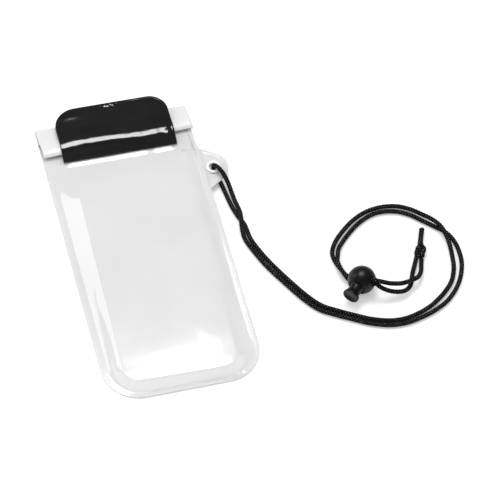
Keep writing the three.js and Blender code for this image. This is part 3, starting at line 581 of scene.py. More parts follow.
# Pocket: where its wall starts, and the raised middle that the wall climbs to
FOOT_INSET = 4 * MM
FOOT_BOTTOM = 3 * MM
FOOT_TOP = 163 * MM
FOOT_CORNER = 18.6 * MM
FOOT_TOP_CORNER = 10 * MM
FOOT_SIDE = HALF - FOOT_INSET
FOOT_BOX = (-FOOT_SIDE, FOOT_SIDE, FOOT_BOTTOM, FOOT_TOP, FOOT_CORNER, FOOT_TOP_CORNER)
MIDDLE_AT = (-0.4 * MM, 74.5 * MM)
MIDDLE_HALF = (32.8 * MM, 68.5 * MM)
MIDDLE_CORNER = 9 * MM
MIDDLE_TURN = math.radians(-1.5)
MIDDLE_HEIGHT = 8.6 * MM
MIDDLE_INSETS = (0.8, 2, 4, 7)
WALL_STRAIGHT = 0.65
SHOULDER = 0.09 * MM
END_DROP = 0.24 * MM
END_DROP_FROM = 14 * MM
END_DROP_TO = 4 * MM

# Lift of the welded side beside the lug, and what the pocket's foot follows of it
LUG_LIFT = 3.9 * MM
LUG_Y = 144 * MM
LIFT_LEVEL = 15.6 * MM
LIFT_FADE_UP = 6 * MM
LIFT_FADE_DOWN = 115 * MM
LIFT_INSET = 7.5 * MM
FOOT_LIFT_SHARE = 0.45
FOOT_LIFT_FROM = 30.4 * MM
FOOT_LIFT_RUN = 6.2 * MM
END_CURL = 0.13 * MM
END_CURL_FROM = 3.2 * MM

# Small forms of the front film
TAB_SLOPE_FROM = 162.9 * MM
TAB_SLOPE_TO = 167 * MM
TAB_SLOPE_RISE = 0.56 * MM
TAB_SLOPE_HALF = 36 * MM
CREASE_FROM = Vector((0.032, 0.139))
CREASE_TO = Vector((0.0345, 0.157))
CREASE_HEIGHT = 0.55 * MM
CREASE_WIDTH = 0.9 * MM
# Middle of each fan of puckers, and the way it points
PUCKERS = ((-0.0315, 0.0085, 3.9), (0.03, 0.0085, 5.5), (-0.0305, 0.1405, 2.4))
PUCKER_HEIGHT = 0.28 * MM
# Place across, start, end and height of each fine line beside the raised middle, in millimetres
TENSION_LINES = ((34.2, 30, 150, 0.1), (36.6, 48, 142, 0.13), (-34.6, 22, 120, 0.08))


def rounded_box(left, right, bottom, top, low, high):
    """Points round a box, its lower and upper corners rounded, from the bottom right anticlockwise."""
    points = []
    for turn, cx, cy, radius, steps, (to_x, to_y), run in (
        (-1, right - low, bottom + low, low, LOW_STEPS, (right, top - high), SIDE_STEPS),
        (0, right - high, top - high, high, HIGH_STEPS, (left + high, top), END_STEPS),
        (1, left + high, top - high, high, HIGH_STEPS, (left, bottom + low), SIDE_STEPS),
        (2, left + low, bottom + low, low, LOW_STEPS, (right - low, bottom), END_STEPS),
    ):
        for i in range(steps + 1):
            angle = turn * math.pi / 2 + math.pi / 2 * i / steps
            points.append((cx + radius * math.cos(angle), cy + radius * math.sin(angle)))
        x, y = points[-1]
        points.extend((x + (to_x - x) * i / run, y + (to_y - y) * i / run) for i in range(1, run))
    return np.array(points)


def outline(inset, top=None):
    top = PANEL_TOP - inset if top is None else top
    return rounded_box(-HALF + inset, HALF - inset, inset, top, CORNER - inset, TOP_CORNER)


def middle_box(inset=0.0):
    """Sides and corner radius of the raised middle, before its turn."""
    cx, cy = MIDDLE_AT
    half_x, half_y = MIDDLE_HALF[0] - inset, MIDDLE_HALF[1] - inset
    corner = max(MIDDLE_CORNER - inset, 1 * MM)
    return cx - half_x, cx + half_x, cy - half_y, cy + half_y, corner, corner


def turned(x, y, angle):
    """A place turned about the raised middle's centre."""
    c, s = math.cos(angle), math.sin(angle)
    cx, cy = MIDDLE_AT
    return cx + (x - cx) * c - (y - cy) * s, cy + (x - cx) * s + (y - cy) * c


def middle_line(inset=0.0):
    line = rounded_box(*middle_box(inset))
    return np.stack(turned(line[:, 0], line[:, 1], MIDDLE_TURN), axis=1)


def box_distance(x, y, left, right, bottom, top, low, high):
    """Signed distance to a box with round corners, negative inside."""
    cx, cy = (left + right) / 2, (bottom + top) / 2
    radius = np.where(y < cy, low, high)
    qx = np.abs(x - cx) - (right - left) / 2 + radius
    qy = np.abs(y - cy) - (top - bottom) / 2 + radius
    outside = np.hypot(np.maximum(qx, 0), np.maximum(qy, 0))
    return np.minimum(np.maximum(qx, qy), 0) + outside - radius


def from_edge(x, y):
    """Distance in from the sheets' cut edge."""
    return -box_distance(x, y, -HALF, HALF, 0, LENGTH + CORNER, CORNER, TOP_CORNER)


def edge_lift(x, y):
    """How far the sheets stand off the table: beside the lug, and where the lower edge curls."""
    fade = np.where(y > LUG_Y, LIFT_FADE_UP, LIFT_FADE_DOWN)
    past = np.clip((np.abs(y - LUG_Y) - LIFT_LEVEL) / fade, 0, 1)
    rise = 1 - 0.5 * past - 0.5 * smooth(past)
    weld, foot = HALF - SEAM, HALF - LIFT_INSET
    curl = END_CURL * np.clip(1 - y / END_CURL_FROM, 0, 1)
    return LUG_LIFT * rise * smooth((x - foot) / (weld - foot)) + curl


def edge_weld(x, y):
    """Height of the weld's bead."""
    return WELD_HEIGHT * bump_line(from_edge(x, y), WELD_START, WELD_END, WELD_SLOPE) * (y < WELD_TOP)


def free_share(x, y):
    """0 at the foot of the pocket, 1 on its raised middle."""
    foot = np.maximum(-box_distance(x, y, *FOOT_BOX), 0)
    raised = np.maximum(box_distance(*turned(x, y, -MIDDLE_TURN), *middle_box()), 0)
    return foot / np.maximum(foot + raised, 1e-9)


def front_top(x, y):
    """Height of the front film's upper face without its small forms."""
    base = 2 * FILM + SHEET_GAP
    share = free_share(x, y)
    rise = WALL_STRAIGHT * share + (1 - WALL_STRAIGHT) * smooth(share)
    lifted = edge_lift(x, y)
    side = smooth((x - FOOT_LIFT_FROM) / FOOT_LIFT_RUN)
    foot_rise = FOOT_LIFT_SHARE * side * edge_lift(np.full_like(x, HALF - SEAM), y) / LUG_LIFT
    low = base + foot_rise * (MIDDLE_HEIGHT - 2 * FILM)
    beside = smooth((HALF - SEAM - x) / (FOOT_INSET - SEAM))
    blend = base + lifted * (1 - beside) + (low - base) * beside
    outer = np.where(x > FOOT_SIDE, blend, base + lifted)
    z = np.where(share > 0, low + (MIDDLE_HEIGHT - low) * rise, outer)
    z = z - END_DROP * smooth((END_DROP_FROM - y) / (END_DROP_FROM - END_DROP_TO)) * smooth(share * 2)
    z = z + SHOULDER * np.exp(-(((share - 0.97) / 0.09) ** 2))
    return z + edge_weld(x, y)


def waviness(x, y):
    """The film's own waves: strongest between the welds and the raised middle."""
    share = free_share(x, y)
    edge = from_edge(x, y)
    out = np.zeros_like(x)
    for i in range(len(x)):
        slack = smooth(edge[i] / (6 * MM) - 0.4)
        taut = 0.85 * smooth((share[i] - 0.5) * 2)
        long_wave = max(ripple(x[i], y[i] * 0.45, 13 * MM, 2.1), -0.2)
        short_wave = ripple(x[i], y[i] * 0.8, 5 * MM, 7.7)
        out[i] = slack * (1 - taut) * (0.3 * long_wave + 0.08 * short_wave + 0.08) * MM
        lower_end = 1 - smooth((y[i] - 9 * MM) / (15 * MM))
        end_wave = ripple(x[i] * 0.8, y[i] * 1.4, 15 * MM, 21.3)
        out[i] += taut * (0.05 * ripple(x[i], y[i], 24 * MM, 4.4) + 0.16 * end_wave * lower_end) * MM
    return out


def corner_puckers(x, y):
    """Short folds that spread from the raised middle's corners."""
    folds, spread, reach_at, reach_width = 9, 0.55, 3.2 * MM, 2.4 * MM
    total = np.zeros_like(x)
    for cx, cy, turn in PUCKERS:
        reach = np.hypot(x - cx, y - cy)
        angle = np.arctan2(y - cy, x - cx) - turn
        away = np.abs((angle + np.pi) % (2 * np.pi) - np.pi)
        fan = np.cos(angle * folds) * np.exp(-((away / spread) ** 2))
        total += fan * np.exp(-(((reach - reach_at) / reach_width) ** 2))
    return PUCKER_HEIGHT * total


def crease(x, y):
    """The crease that runs from the raised middle towards the mouth on the lug's side."""
    a, b = np.array(CREASE_FROM), np.array(CREASE_TO)
    d = b - a
    t = np.clip(((x - a[0]) * d[0] + (y - a[1]) * d[1]) / d.dot(d), 0, 1)
    away = np.hypot(x - a[0] - t * d[0], y - a[1] - t * d[1])
    ends = smooth(t * 4 + 0.2) * smooth((1 - t) * 3 + 0.1)
    return CREASE_HEIGHT * np.exp(-((away / CREASE_WIDTH) ** 2)) * ends


def panel_rings(with_pocket):
    """Contours from the cut edge in to a narrow core, close together at the weld and the shoulder."""
    rings = [outline(d * MM) for d in EDGE_INSETS]
    seam = outline(SEAM, SEAM_TOP)
    foot, middle = rounded_box(*FOOT_BOX), middle_line()
    rings += [seam + (foot - seam) * t for t in (0, 0.25, 0.5, 0.75)]
    steps = 16 if with_pocket else 3
    rings += [foot + (middle - foot) * t / steps for t in range(steps + 1)]
    inner = [middle_line(d * MM) for d in MIDDLE_INSETS]
    rings += inner
    cx, cy = MIDDLE_AT
    core = inner[-1].copy()
    core[:, 0] = cx + (core[:, 0] - cx) * 0.04
    core[:, 1] = cy + np.clip(core[:, 1] - cy, -36 * MM, 36 * MM)
    rings += [inner[-1] + (core - inner[-1]) * t for t in (0.15, 0.3, 0.45, 0.6, 0.75, 0.9, 1)]
    return rings


def film_body(rings, top, under):
    """Closed film between two height functions over the same contours."""
    upper_rings, lower_rings = (
        [[(x, y, z) for (x, y), z in zip(ring, height(ring[:, 0], ring[:, 1]))] for ring in rings]
        for height in (top, under)
    )
    return closed_rings(upper_rings[::-1] + lower_rings)


def tab_slope(x, y):
    """The film's even slope up to the foot of the tab welded on it."""
    across = smooth((TAB_SLOPE_HALF - np.abs(x)) / (5 * MM))
    up = np.clip((y - TAB_SLOPE_FROM) / (TAB_SLOPE_TO - TAB_SLOPE_FROM), 0, 1)
    return TAB_SLOPE_RISE * across * up


def side_lines(x, y):
    """Fine tension lines along the pocket, beside its raised middle."""
    lean, width, fade = 0.02, 0.55 * MM, 18 * MM
    total = np.zeros_like(x)
    for place, low, high, height in TENSION_LINES:
        line = place * MM + (y - MIDDLE_AT[1]) * lean
        ends = smooth((y - low * MM) / fade) * smooth((high * MM - y) / fade)
        total += height * MM * np.exp(-(((x - line) / width) ** 2)) * ends
    return total


def front_surface(x, y):
    """The front film's upper face, never in the back sheet."""
    z = front_top(x, y) + waviness(x, y) + corner_puckers(x, y) + crease(x, y) + tab_slope(x, y)
    return np.maximum(z + side_lines(x, y), back_top(x, y) + FILM + 0.02 * MM)


def front_under(x, y):
    """The front film's lower face: a little thinner over the pocket, never in the back sheet."""
    thickness = FILM * (1 - 0.3 * smooth(free_share(x, y) * 3))
    return np.maximum(front_surface(x, y) - edge_weld(x, y) - thickness, back_top(x, y) + 0.02 * MM)


def back_top(x, y):
    return edge_lift(x, y) + FILM


def back_under(x, y):
    return edge_lift(x, y)


front_body = film_body(panel_rings(True), front_surface, front_under)
back_body = film_body(panel_rings(False), back_top, back_under)
make_mesh("front_film", *front_body, CLEAR_FILM, "clear_film", node="front_sheet")
make_mesh("back_film", *back_body, MILKY_FILM, "milky_film", node="back_sheet")


# Folded mouth
FOLD_HEIGHT = 2.9 * MM
FOLD_GAP = 0.15 * MM
BAND_DEPTH = 20 * MM
BAND_SKEW = 4 * MM
BAND_SHIFT = 0.9 * MM
SEAL_FROM = 1.45 * MM
SEAL_TO = 7.75 * MM
CREST_RUN = 2.8 * MM
RIDGE = 5.9 * MM
LIP_DROP = 1.1 * MM
FOLD_MIDDLE = FOLD_HEIGHT / 2
INNER_FLAP = FOLD_HEIGHT - FILM - FOLD_GAP
CREST = INNER_FLAP + 1.65 * MM
FOLD_STEPS = 12
BAND_STEPS = 130
BAND_WAVE = 0.16 * MM
BAND_SAG = 0.25 * MM


def lip_y(x):
    """Where the band's lip lies at x; it lies askew across the pouch."""
    return LENGTH - BAND_DEPTH + BAND_SKEW * x / WIDTH


def fold_section(x, flap, outer):
    """Upper and lower line of a folded sheet at x, as (y, z), from its start to its lip."""
    radius = FOLD_MIDDLE if outer else FOLD_MIDDLE - FILM - FOLD_GAP
    start = 0 if outer else FILM + SHEET_GAP
    line = [Vector((PANEL_TOP - 2 * MM, start)), Vector((LENGTH - 6 * MM, start))]
    inside = [p + Vector((0, FILM)) for p in line]
    centre = Vector((LENGTH - FOLD_MIDDLE, FOLD_MIDDLE))
    for i in range(FOLD_STEPS + 1):
        angle = -math.pi / 2 + math.pi * i / FOLD_STEPS
        turn = Vector((math.cos(angle), math.sin(angle)))
        line.append(centre + turn * radius)
        inside.append(centre + turn * (radius - FILM))
    shaped = [Vector((lip_y(x) + from_lip, z)) for from_lip, z in flap]
    line += [p + Vector((0, FILM)) for p in shaped]
    inside += shaped
    return chaikin(line, 2), chaikin(inside, 2)


def make_fold(name, outer, flap, material, slot):
    """The sheet's mouth: it turns forward at the top edge and lies back on the front as a band."""
    top, under = [], []
    for i in range(BAND_STEPS + 1):
        x = -HALF + WIDTH * i / BAND_STEPS
        line, inside = fold_section(x, flap, outer)
        weld = bump_line(np.array([HALF - abs(x)]), WELD_START, WELD_END, WELD_SLOPE)[0]
        column_top, column_under = [], []
        for p, q in zip(line, inside):
            on_flap = np.clip((LENGTH - p.x) / BAND_DEPTH, 0, 1) if p.y > FOLD_MIDDLE else 0
            wave = BAND_WAVE * ripple(x, p.x * 0.6, 9 * MM, 11.3 if outer else 3.9) * on_flap
            wave += 0.3 * WELD_HEIGHT * weld * (1 if outer and p.y > FOLD_MIDDLE else 0)
            across = x + BAND_SHIFT * on_flap
            sag = BAND_SAG * ripple(x, 0, 16 * MM, 8.8) * on_flap
            column_top.append((across, p.x + sag, p.y + wave))
            column_under.append((across, q.x + sag, q.y + wave * (0.4 if outer else 1)))
        top.append(column_top)
        under.append(column_under)
    make_mesh(name, *thick_grid(top, under), material, slot)


# Each flap's underside from the crest to its lip: distance from the lip, height
BACK_FLAP = [
    (SEAL_TO + CREST_RUN + 2.2 * MM, FOLD_HEIGHT - FILM),
    (SEAL_TO + CREST_RUN, FOLD_HEIGHT - FILM),
    (SEAL_TO, CREST + 0.05 * MM),
    (RIDGE, CREST + 0.38 * MM),
    (RIDGE - 0.8 * MM, CREST + 0.36 * MM),
    (SEAL_FROM, CREST + 0.04 * MM),
    (0, CREST - LIP_DROP),
]
FRONT_FLAP = [(from_lip, INNER_FLAP - FILM) for from_lip in (SEAL_TO + 4 * MM, SEAL_TO, 0)]
make_fold("back_fold", True, BACK_FLAP, SHADED_FOLD_FILM, "milky_film")
make_fold("front_fold", False, FRONT_FLAP, CLEAR_FILM, "clear_film")


# Lug beside the pouch: two sheets welded round their edge, with the eyelet through them
EYELET = (51 * MM, 143.5 * MM)
EYELET_HOLE = 2.5 * MM
LUG_TIP = 60 * MM
LUG_TIP_RADIUS = 11 * MM
LUG_BASE = 29.6 * MM
LUG_ROOT = HALF - 0.1 * MM
LUG_STEPS = 160
LUG_TIP_STEPS = 48
LUG_INSETS = (0, 0.15, 0.5, 0.75, 0.95, 1.2, 1.6, 1.9, 2.15, 2.5, 4, 6, 8, 20)


def lug_outline():
    """Points of the lug's edge, anticlockwise, with its root inside the pouch's weld."""
    cx = LUG_TIP - LUG_TIP_RADIUS
    half = LUG_BASE / 2
    tangent = math.atan2(half, HALF - cx) - math.acos(LUG_TIP_RADIUS / math.hypot(cx - HALF, half))
    points = [(LUG_ROOT, LUG_Y - half), (HALF, LUG_Y - half)]
    for i in range(LUG_TIP_STEPS + 1):
        angle = -tangent + 2 * tangent * i / LUG_TIP_STEPS
        points.append((cx + LUG_TIP_RADIUS * math.cos(angle), LUG_Y + LUG_TIP_RADIUS * math.sin(angle)))
    return points + [(HALF, LUG_Y + half), (LUG_ROOT, LUG_Y + half)]


def reach_to_edge(angle, edge):
    """How far the edge lies from the eyelet's middle in one direction."""
    dx, dy = math.cos(angle), math.sin(angle)
    best = 1.0
    for (ax, ay), (bx, by) in zip(edge, edge[1:] + edge[:1]):
        ex, ey = bx - ax, by - ay
        px, py = ax - EYELET[0], ay - EYELET[1]
        cross = dx * ey - dy * ex
        if abs(cross) < 1e-12:
            continue
        t, s = (px * ey - py * ex) / cross, (px * dy - py * dx) / cross
        if t > 0 and -1e-9 <= s <= 1 + 1e-9:
            best = min(best, t)
    return best


def make_lug(name, base, material, slot, bead):
    """One sheet of the lug, open round the eyelet's barrel; bead is 1 where its weld shows."""
    edge = lug_outline()
    rows_top, rows_under = [], []
    for inset in LUG_INSETS:
        top, under = [], []
        for i in range(LUG_STEPS):
            angle = 2 * math.pi * i / LUG_STEPS
            reach = reach_to_edge(angle, edge)
            radius = max(EYELET_HOLE + 0.7 * MM, reach - inset * MM)
            x, y = EYELET[0] + radius * math.cos(angle), EYELET[1] + radius * math.sin(angle)
            outer = smooth((x - HALF) / (1.5 * MM))
            ridge = bump_line(np.array([reach - radius]), WELD_START, WELD_END, WELD_SLOPE)[0]
            wave = 0.12 * MM * ripple(x, y, 6 * MM, 9.1) * outer
            top.append((x, y, base + FILM + wave + WELD_HEIGHT * bead * ridge * outer))
            under.append((x, y, base + wave))
        rows_top.append(top)
        rows_under.append(under)
    make_mesh(name, *closed_rings(rows_top[::-1] + rows_under, joined=True), material, slot)


make_lug("back_lug", LUG_LIFT, MILKY_FILM, "milky_film", 0)
make_lug("front_lug", LUG_LIFT + FILM + SHEET_GAP, CLEAR_FILM, "clear_film", 1)


def make_eyelet():
    """White moulded ring: a rounded flange, its throat and its barrel."""
    top = LUG_LIFT + 2 * FILM + SHEET_GAP
    flange, height, wall = 4.4 * MM, 0.85 * MM, 0.4 * MM
    bottom, rim_round, throat_round = LUG_LIFT - 0.45 * MM, 0.45 * MM, 0.75 * MM
    barrel = EYELET_HOLE + wall
    profile = [(EYELET_HOLE, bottom), (barrel, bottom), (barrel, top), (flange, top)]
    profile += [
        (flange - rim_round * (1 - math.cos(a)), top + height - rim_round * (1 - math.sin(a)))
        for a in np.linspace(0, math.pi / 2, 6)
    ]
    profile += [
        (EYELET_HOLE + throat_round * (1 - math.sin(a)), top + height - throat_round * (1 - math.cos(a)))
        for a in np.linspace(0, math.pi / 2, 7)
    ]
    points, faces = lathe(profile, 96)
    points = [(x + EYELET[0], y + EYELET[1], z) for x, y, z in points]
    make_mesh("eyelet_ring", points, faces, WHITE_PLASTIC, "white_plastic", node="eyelet")


make_eyelet()


# Closing tab: two welded layers of black film over the band
TAB_LEFT, TAB_RIGHT = -34.2 * MM, 35 * MM
TAB_LEFT_CORNER, TAB_RIGHT_CORNER = 14 * MM, 11 * MM
TAB_FOOT = 167 * MM
TAB_END = 202.7 * MM
TAB_LAYER = 0.42 * MM
TAB_COLUMNS, TAB_ROWS = 150, 130
TAB_CROWDING = 1.25
# How the tab climbs over the band: distance from the lip, height of its underside
TAB_CLIMB = np.array([
    (-0.4, 3.95), (1, 4.7), (2.2, 5.04), (4.4, 5.38), (5.2, 5.43), (6.2, 5.42), (14, 5.1), (31, 5),
]) * MM
TAB_FOOT_Z = 1.5 * MM
# Place across the tab, and how much further from the lip it comes level there
TAB_LEVEL = np.array([
    (-34.2, 0.6), (-22, 0.9), (-4, 0), (5, -1.1), (14, -2.3), (24, -2.7), (31, -2.4), (35, -2.6),
]) * MM


def tab_height(x, y):
    """Height of the tab's underside."""
    shift = np.interp(x, TAB_LEVEL[:, 0], TAB_LEVEL[:, 1])
    spread = np.array((-0.7, -0.35, 0, 0.35, 0.7)) * MM
    weights = np.array((1, 2, 2, 2, 1)) / 8
    from_lip = y - lip_y(x) - shift + spread
    foot = TAB_FOOT - lip_y(x) - shift
    heights = np.interp(from_lip, [foot, *TAB_CLIMB[:, 0]], [TAB_FOOT_Z, *TAB_CLIMB[:, 1]])
    return float((heights * weights).sum()) + tab_pucker(x, y)


def tab_pucker(x, y):
    """The pucker beside the tab's right side, just above its foot."""
    across = (x - 30.6 * MM - (y - 172 * MM) * 0.15) / (2.4 * MM)
    up = (y - 171.8 * MM) / (3.2 * MM)
    return 0.95 * MM * math.exp(-(across**2) - up**2) * smooth((y - TAB_FOOT) / (1.5 * MM))


def tab_sides(y):
    """Left and right side of the tab at y, drawn in at its round corners."""
    sides = []
    for side, radius, sign in ((TAB_LEFT, TAB_LEFT_CORNER, 1), (TAB_RIGHT, TAB_RIGHT_CORNER, -1)):
        over = max(y - (TAB_END - radius), 0)
        sides.append(side + sign * (radius - math.sqrt(max(radius**2 - over**2, 0))))
    return sides


def tab_inside(x, y):
    """Distance in from the tab's edge, round its two corners too."""
    nearest = 1.0
    for side, radius in ((x - TAB_LEFT, TAB_LEFT_CORNER), (TAB_RIGHT - x, TAB_RIGHT_CORNER)):
        end = TAB_END - y
        if side < radius and end < radius:
            nearest = min(nearest, radius - math.hypot(radius - side, radius - end))
        else:
            nearest = min(nearest, side, end)
    return max(nearest, 0)


def tab_wave(x, y):
    """Soft dents of the tab: the two layers pucker inside their weld."""
    near_lip = 1 - smooth((y - lip_y(x) - 7 * MM) / (6 * MM))
    wave = (0.05 + 0.13 * near_lip) * ripple(x * 0.6, y * 0.8, 11 * MM, 6.2)
    wave += (0.01 + 0.06 * near_lip) * ripple(x, y, 4 * MM, 1.4)
    wave += 0.015 * near_lip * ripple(x * 0.7, y * 1.3, 2.2 * MM, 18.6)
    wave *= smooth((y - TAB_FOOT - 2 * MM) / (9 * MM))
    dome = 0.24 * math.exp(-(((x + 24 * MM) / (7 * MM)) ** 2) - ((y - 196.5 * MM) / (2.2 * MM)) ** 2)
    crumple = 0.42 * math.exp(-(((x - 0.5 * MM) / (5.5 * MM)) ** 2) - ((y - 201 * MM) / (1.1 * MM)) ** 2)
    crumple *= 0.6 + ripple(x, y, 1.5 * MM, 15.2)
    return (wave + dome + crumple) * MM


def make_tab_layer(name, node, base, rim):
    """One layer of the tab; rim is 1 on the cover, which has the weld's ridge and a soft pillow."""
    rows_top, rows_under = [], []
    for r in range(TAB_ROWS + 1):
        y = TAB_FOOT + (TAB_END - TAB_FOOT) * (1 - (1 - r / TAB_ROWS) ** TAB_CROWDING)
        left, right = tab_sides(y)
        top, under = [], []
        for c in range(TAB_COLUMNS + 1):
            u = 2 * c / TAB_COLUMNS - 1
            u = math.copysign(1 - (1 - abs(u)) ** TAB_CROWDING, u)
            x = (left + right) / 2 + u * (right - left) / 2
            inside = tab_inside(x, y)
            z = tab_height(x, y) + base + tab_wave(x, y)
            uneven = 0.6 + 0.5 * ripple(x, y, 7 * MM, 12.9)
            uneven *= 0.25 + 0.75 * smooth((x + 5 * MM) / (30 * MM))
            ridge = 0.09 * MM * bump_line(np.array([inside]), 0.5 * MM, 1.3 * MM, 0.5 * MM)[0] * uneven
            pillow = 0.12 * MM * smooth((inside - 1.5 * MM) / (3 * MM)) * smooth((y - TAB_FOOT) / (4 * MM))
            thick = TAB_LAYER * (1 - 0.5 * (1 - smooth(inside / (0.4 * MM))))
            top.append((x, y, z + thick + rim * (ridge + pillow)))
            under.append((x, y, z))
        rows_top.append(top)
        rows_under.append(under)
    make_mesh(name, *thick_grid(rows_top, rows_under), BLACK_FILM, "black_film", node=node)


make_tab_layer("tab_lining_film", "tab_lining", 0, 0)
make_tab_layer("tab_cover_film", "tab_cover", TAB_LAYER + 0.03 * MM, 1)


# Ball lock, about its own +Y axis: the plunger comes out at -Y and the cord passes along X
LOCK_AT = Vector((0.1137, 0.0452, 0.00825))
LOCK_TURN = math.radians(-45)
LOCK_ROLL = math.radians(-30)
BALL_RADIUS = 8.25 * MM
BALL_MOUTH = 6.3 * MM
BORE_RADIUS = 4.65 * MM
BORE_FLOOR = 6.1 * MM
LOCK_STEPS = 128
CENTRE = 0.02 * MM  # how near a turned profile comes to its axis


def lock_points(points):
    """From the lathe's axis (+Z) to the lock's own +Y, then into place."""
    turn = Matrix.Rotation(LOCK_TURN, 3, "Z") @ Matrix.Rotation(LOCK_ROLL, 3, "Y")
    turn = turn @ Matrix(((1, 0, 0), (0, 0, 1), (0, -1, 0)))
    return [tuple(LOCK_AT + turn @ Vector(p)) for p in points]


def passage(near, far, half_height, corner, length):
    """A cutter along the lock's X with round corners, in the lathe's own axes."""
    shape = []
    for cx, cz, start in (
        (far - corner, half_height - corner, 0), (near + corner, half_height - corner, 90),
        (near + corner, -half_height + corner, 180), (far - corner, -half_height + corner, 270),
    ):
        for i in range(9):
            angle = math.radians(start + 90 * i / 8)
            shape.append((cx + corner * math.cos(angle), cz + corner * math.sin(angle)))
    rings = [[(x, -lift, out) for out, lift in shape] for x in (-length / 2, length / 2)]
    return closed_rings(rings)


def make_turned(name, profile, cutter, bevel, **ties):
    """A turned part of the lock, with a passage cut through it and the new edges rounded a little."""
    points, faces = lathe(profile, LOCK_STEPS)
    piece = make_mesh(name, lock_points(points), faces, BLACK_PLASTIC, "black_plastic", **ties)
    points, faces = cutter
    tool = make_mesh("passage", lock_points(points), faces, BLACK_PLASTIC, "black_plastic")
    knife = piece.modifiers.new("cut", "BOOLEAN")
    knife.operation = "DIFFERENCE"
    knife.solver = "EXACT"
    knife.object = tool
    round_off = piece.modifiers.new("round", "BEVEL")
    round_off.width = bevel
    round_off.segments = 3
    round_off.limit_method = "ANGLE"
    round_off.angle_limit = math.radians(40)
    bpy.context.view_layer.update()
    shaped = piece.evaluated_get(bpy.context.evaluated_depsgraph_get())
    mesh = bpy.data.meshes.new_from_object(shaped)
    piece.modifiers.clear()
    piece.data = mesh
    bpy.data.objects.remove(tool)


def make_ball():
    """The ball: open at its mouth, bored for the plunger and cut through for the cords."""
    start = -math.asin(BALL_MOUTH / BALL_RADIUS)
    lip, floor_round = 0.35 * MM, 0.4 * MM
    profile = [(BORE_RADIUS, -BALL_MOUTH + lip), (BORE_RADIUS + lip * 0.35, -BALL_MOUTH)]
    for a in np.linspace(start + 0.03, math.pi / 2, 44):
        profile.append((max(BALL_RADIUS * math.cos(a), CENTRE), BALL_RADIUS * math.sin(a)))
    profile += [(CENTRE, BORE_FLOOR), (BORE_RADIUS - floor_round, BORE_FLOOR)]
    profile += [(BORE_RADIUS, BORE_FLOOR - floor_round)]
    cutter = passage(near=-2.1 * MM, far=2.1 * MM, half_height=3.3 * MM, corner=2 * MM, length=26 * MM)
    make_turned("ball_shell", profile, cutter, bevel=0.25 * MM, node="lock_ball")


def make_plunger():
    """The plunger: dished face, flared head, neck, and the stem with its spring seat and passage."""
    end, head, neck, stem = -13.8 * MM, 4.85 * MM, 3.75 * MM, 4.3 * MM
    foot, seat, seat_depth = BORE_FLOOR - 2.9 * MM, 3.1 * MM, 0.8 * MM
    dish, rim_round, edge_round = 0.12 * MM, 0.35 * MM, 0.3 * MM
    profile = [(CENTRE, end + dish), (head - 0.9 * MM, end + dish), (head - 0.7 * MM, end)]
    profile += [
        (head - rim_round * (1 - math.sin(a)), end + rim_round * (1 - math.cos(a)))
        for a in np.linspace(0, math.pi / 2, 5)
    ]
    profile += [
        (neck + (head - neck) * 0.5 * (1 + math.cos(math.pi * t)), end + (0.75 + 3.2 * t) * MM)
        for t in np.linspace(0, 1, 12)
    ]
    profile += [(neck, -7.2 * MM), (stem - 0.4 * MM, -BALL_MOUTH - 0.35 * MM)]
    profile += [(stem, -BALL_MOUTH + 0.1 * MM), (stem, foot - edge_round), (stem - edge_round, foot)]
    profile += [(seat, foot), (seat, foot - seat_depth), (CENTRE, foot - seat_depth)]
    cutter = passage(near=-4.35 * MM, far=1.75 * MM, half_height=3.3 * MM, corner=0.8 * MM, length=14 * MM)
    make_turned("plunger_button", profile, cutter, bevel=0.15 * MM, body="plunger", node="lock_plunger")


make_ball()
make_plunger()


# The solids that are shown as they are get their finish
for node, material in {
    "seal_groove_strip": SEAL_PLASTIC,
    "seal_rib_strip": SEAL_PLASTIC,
    "loop_patch": FLEECE,
    "hook_patch": FLEECE,
    "eyelet_washer": WHITE_PLASTIC,
    "lock_spring": SPRING_STEEL,
}.items():
    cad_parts[node].data.materials.clear()
    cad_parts[node].data.materials.append(material)


# Studio: a pale floor, a softbox overhead, a weak panel at the left and even room light
FLOOR_GREY = 0.86
FLOOR_GLOW = 0.25
FLOOR_REACH = 4.0
FLOOR_BELOW = 0.2 * MM
ROOM_LIGHT = 0.72
ROOM_MIRRORED = 0.12


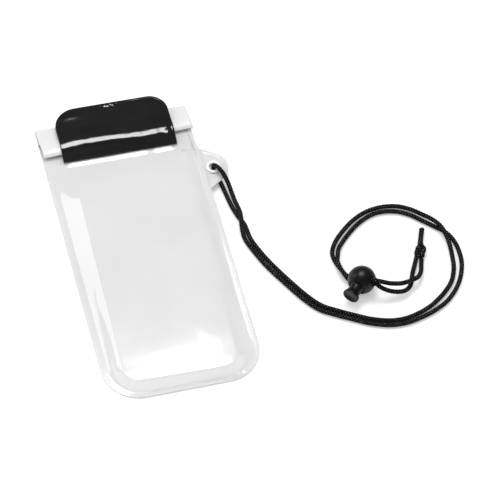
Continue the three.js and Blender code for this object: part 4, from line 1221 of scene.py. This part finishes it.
def floor_material():
    """White floor: its own pale colour, lifted to plain white where the camera sees it lit."""
    material, kit, shader = new_material("floor_looks")
    kit.put(shader, {"Base Color": (*grey(FLOOR_GREY), 1), "Roughness": 0.9, "Specular IOR Level": 0.1})
    rays = kit.add("LightPath", {}).outputs
    seen = kit.math("MAXIMUM", rays["Is Camera Ray"], rays["Is Transmission Ray"])
    glow = kit.add("Emission", {"Strength": kit.math("MULTIPLY", seen, FLOOR_GLOW)})
    both = kit.add("AddShader", {0: shader.outputs["BSDF"], 1: glow.outputs["Emission"]})
    kit.put(kit.tree.nodes["Material Output"], {"Surface": both.outputs[0]})
    return material


def make_floor():
    sides = ((-1, -1), (1, -1), (1, 1), (-1, 1))
    corners = [(x * FLOOR_REACH, y * FLOOR_REACH, -FLOOR_BELOW) for x, y in sides]
    mesh = bpy.data.meshes.new("floor")
    mesh.from_pydata(corners, [], [(0, 1, 2, 3)])
    floor = bpy.data.objects.new("floor", mesh)
    bpy.context.scene.collection.objects.link(floor)
    mesh.materials.append(floor_material())


def make_light(name, place, aim, size, power):
    lamp = bpy.data.lights.new(name, "AREA")
    lamp.shape = "RECTANGLE"
    lamp.size, lamp.size_y = size
    lamp.energy = power
    light = bpy.data.objects.new(name, lamp)
    light.location = place
    light.rotation_euler = (Vector(aim) - Vector(place)).to_track_quat("-Z", "Y").to_euler()
    bpy.context.scene.collection.objects.link(light)


def make_world():
    """Even room light, dimmer where it is mirrored."""
    world = bpy.data.worlds.new("studio")
    kit = Nodes(world)
    mirrored = kit.add("LightPath", {}).outputs["Is Glossy Ray"]
    strength = kit.spread(mirrored, ROOM_LIGHT, ROOM_MIRRORED)
    kit.put(kit.tree.nodes["Background"], {"Color": (1, 1, 1, 1), "Strength": strength})
    bpy.context.scene.world = world


make_floor()
make_world()
make_light("softbox", place=(-0.01, 0.42, 1.35), aim=(0.04, 0.08, 0), size=(0.68, 0.46), power=9.4)
make_light("left_panel", place=(-0.9, 0.6, 0.45), aim=(0, 0.05, 0), size=(0.5, 0.7), power=2.0)
bpy.context.scene.view_settings.view_transform = "Standard"
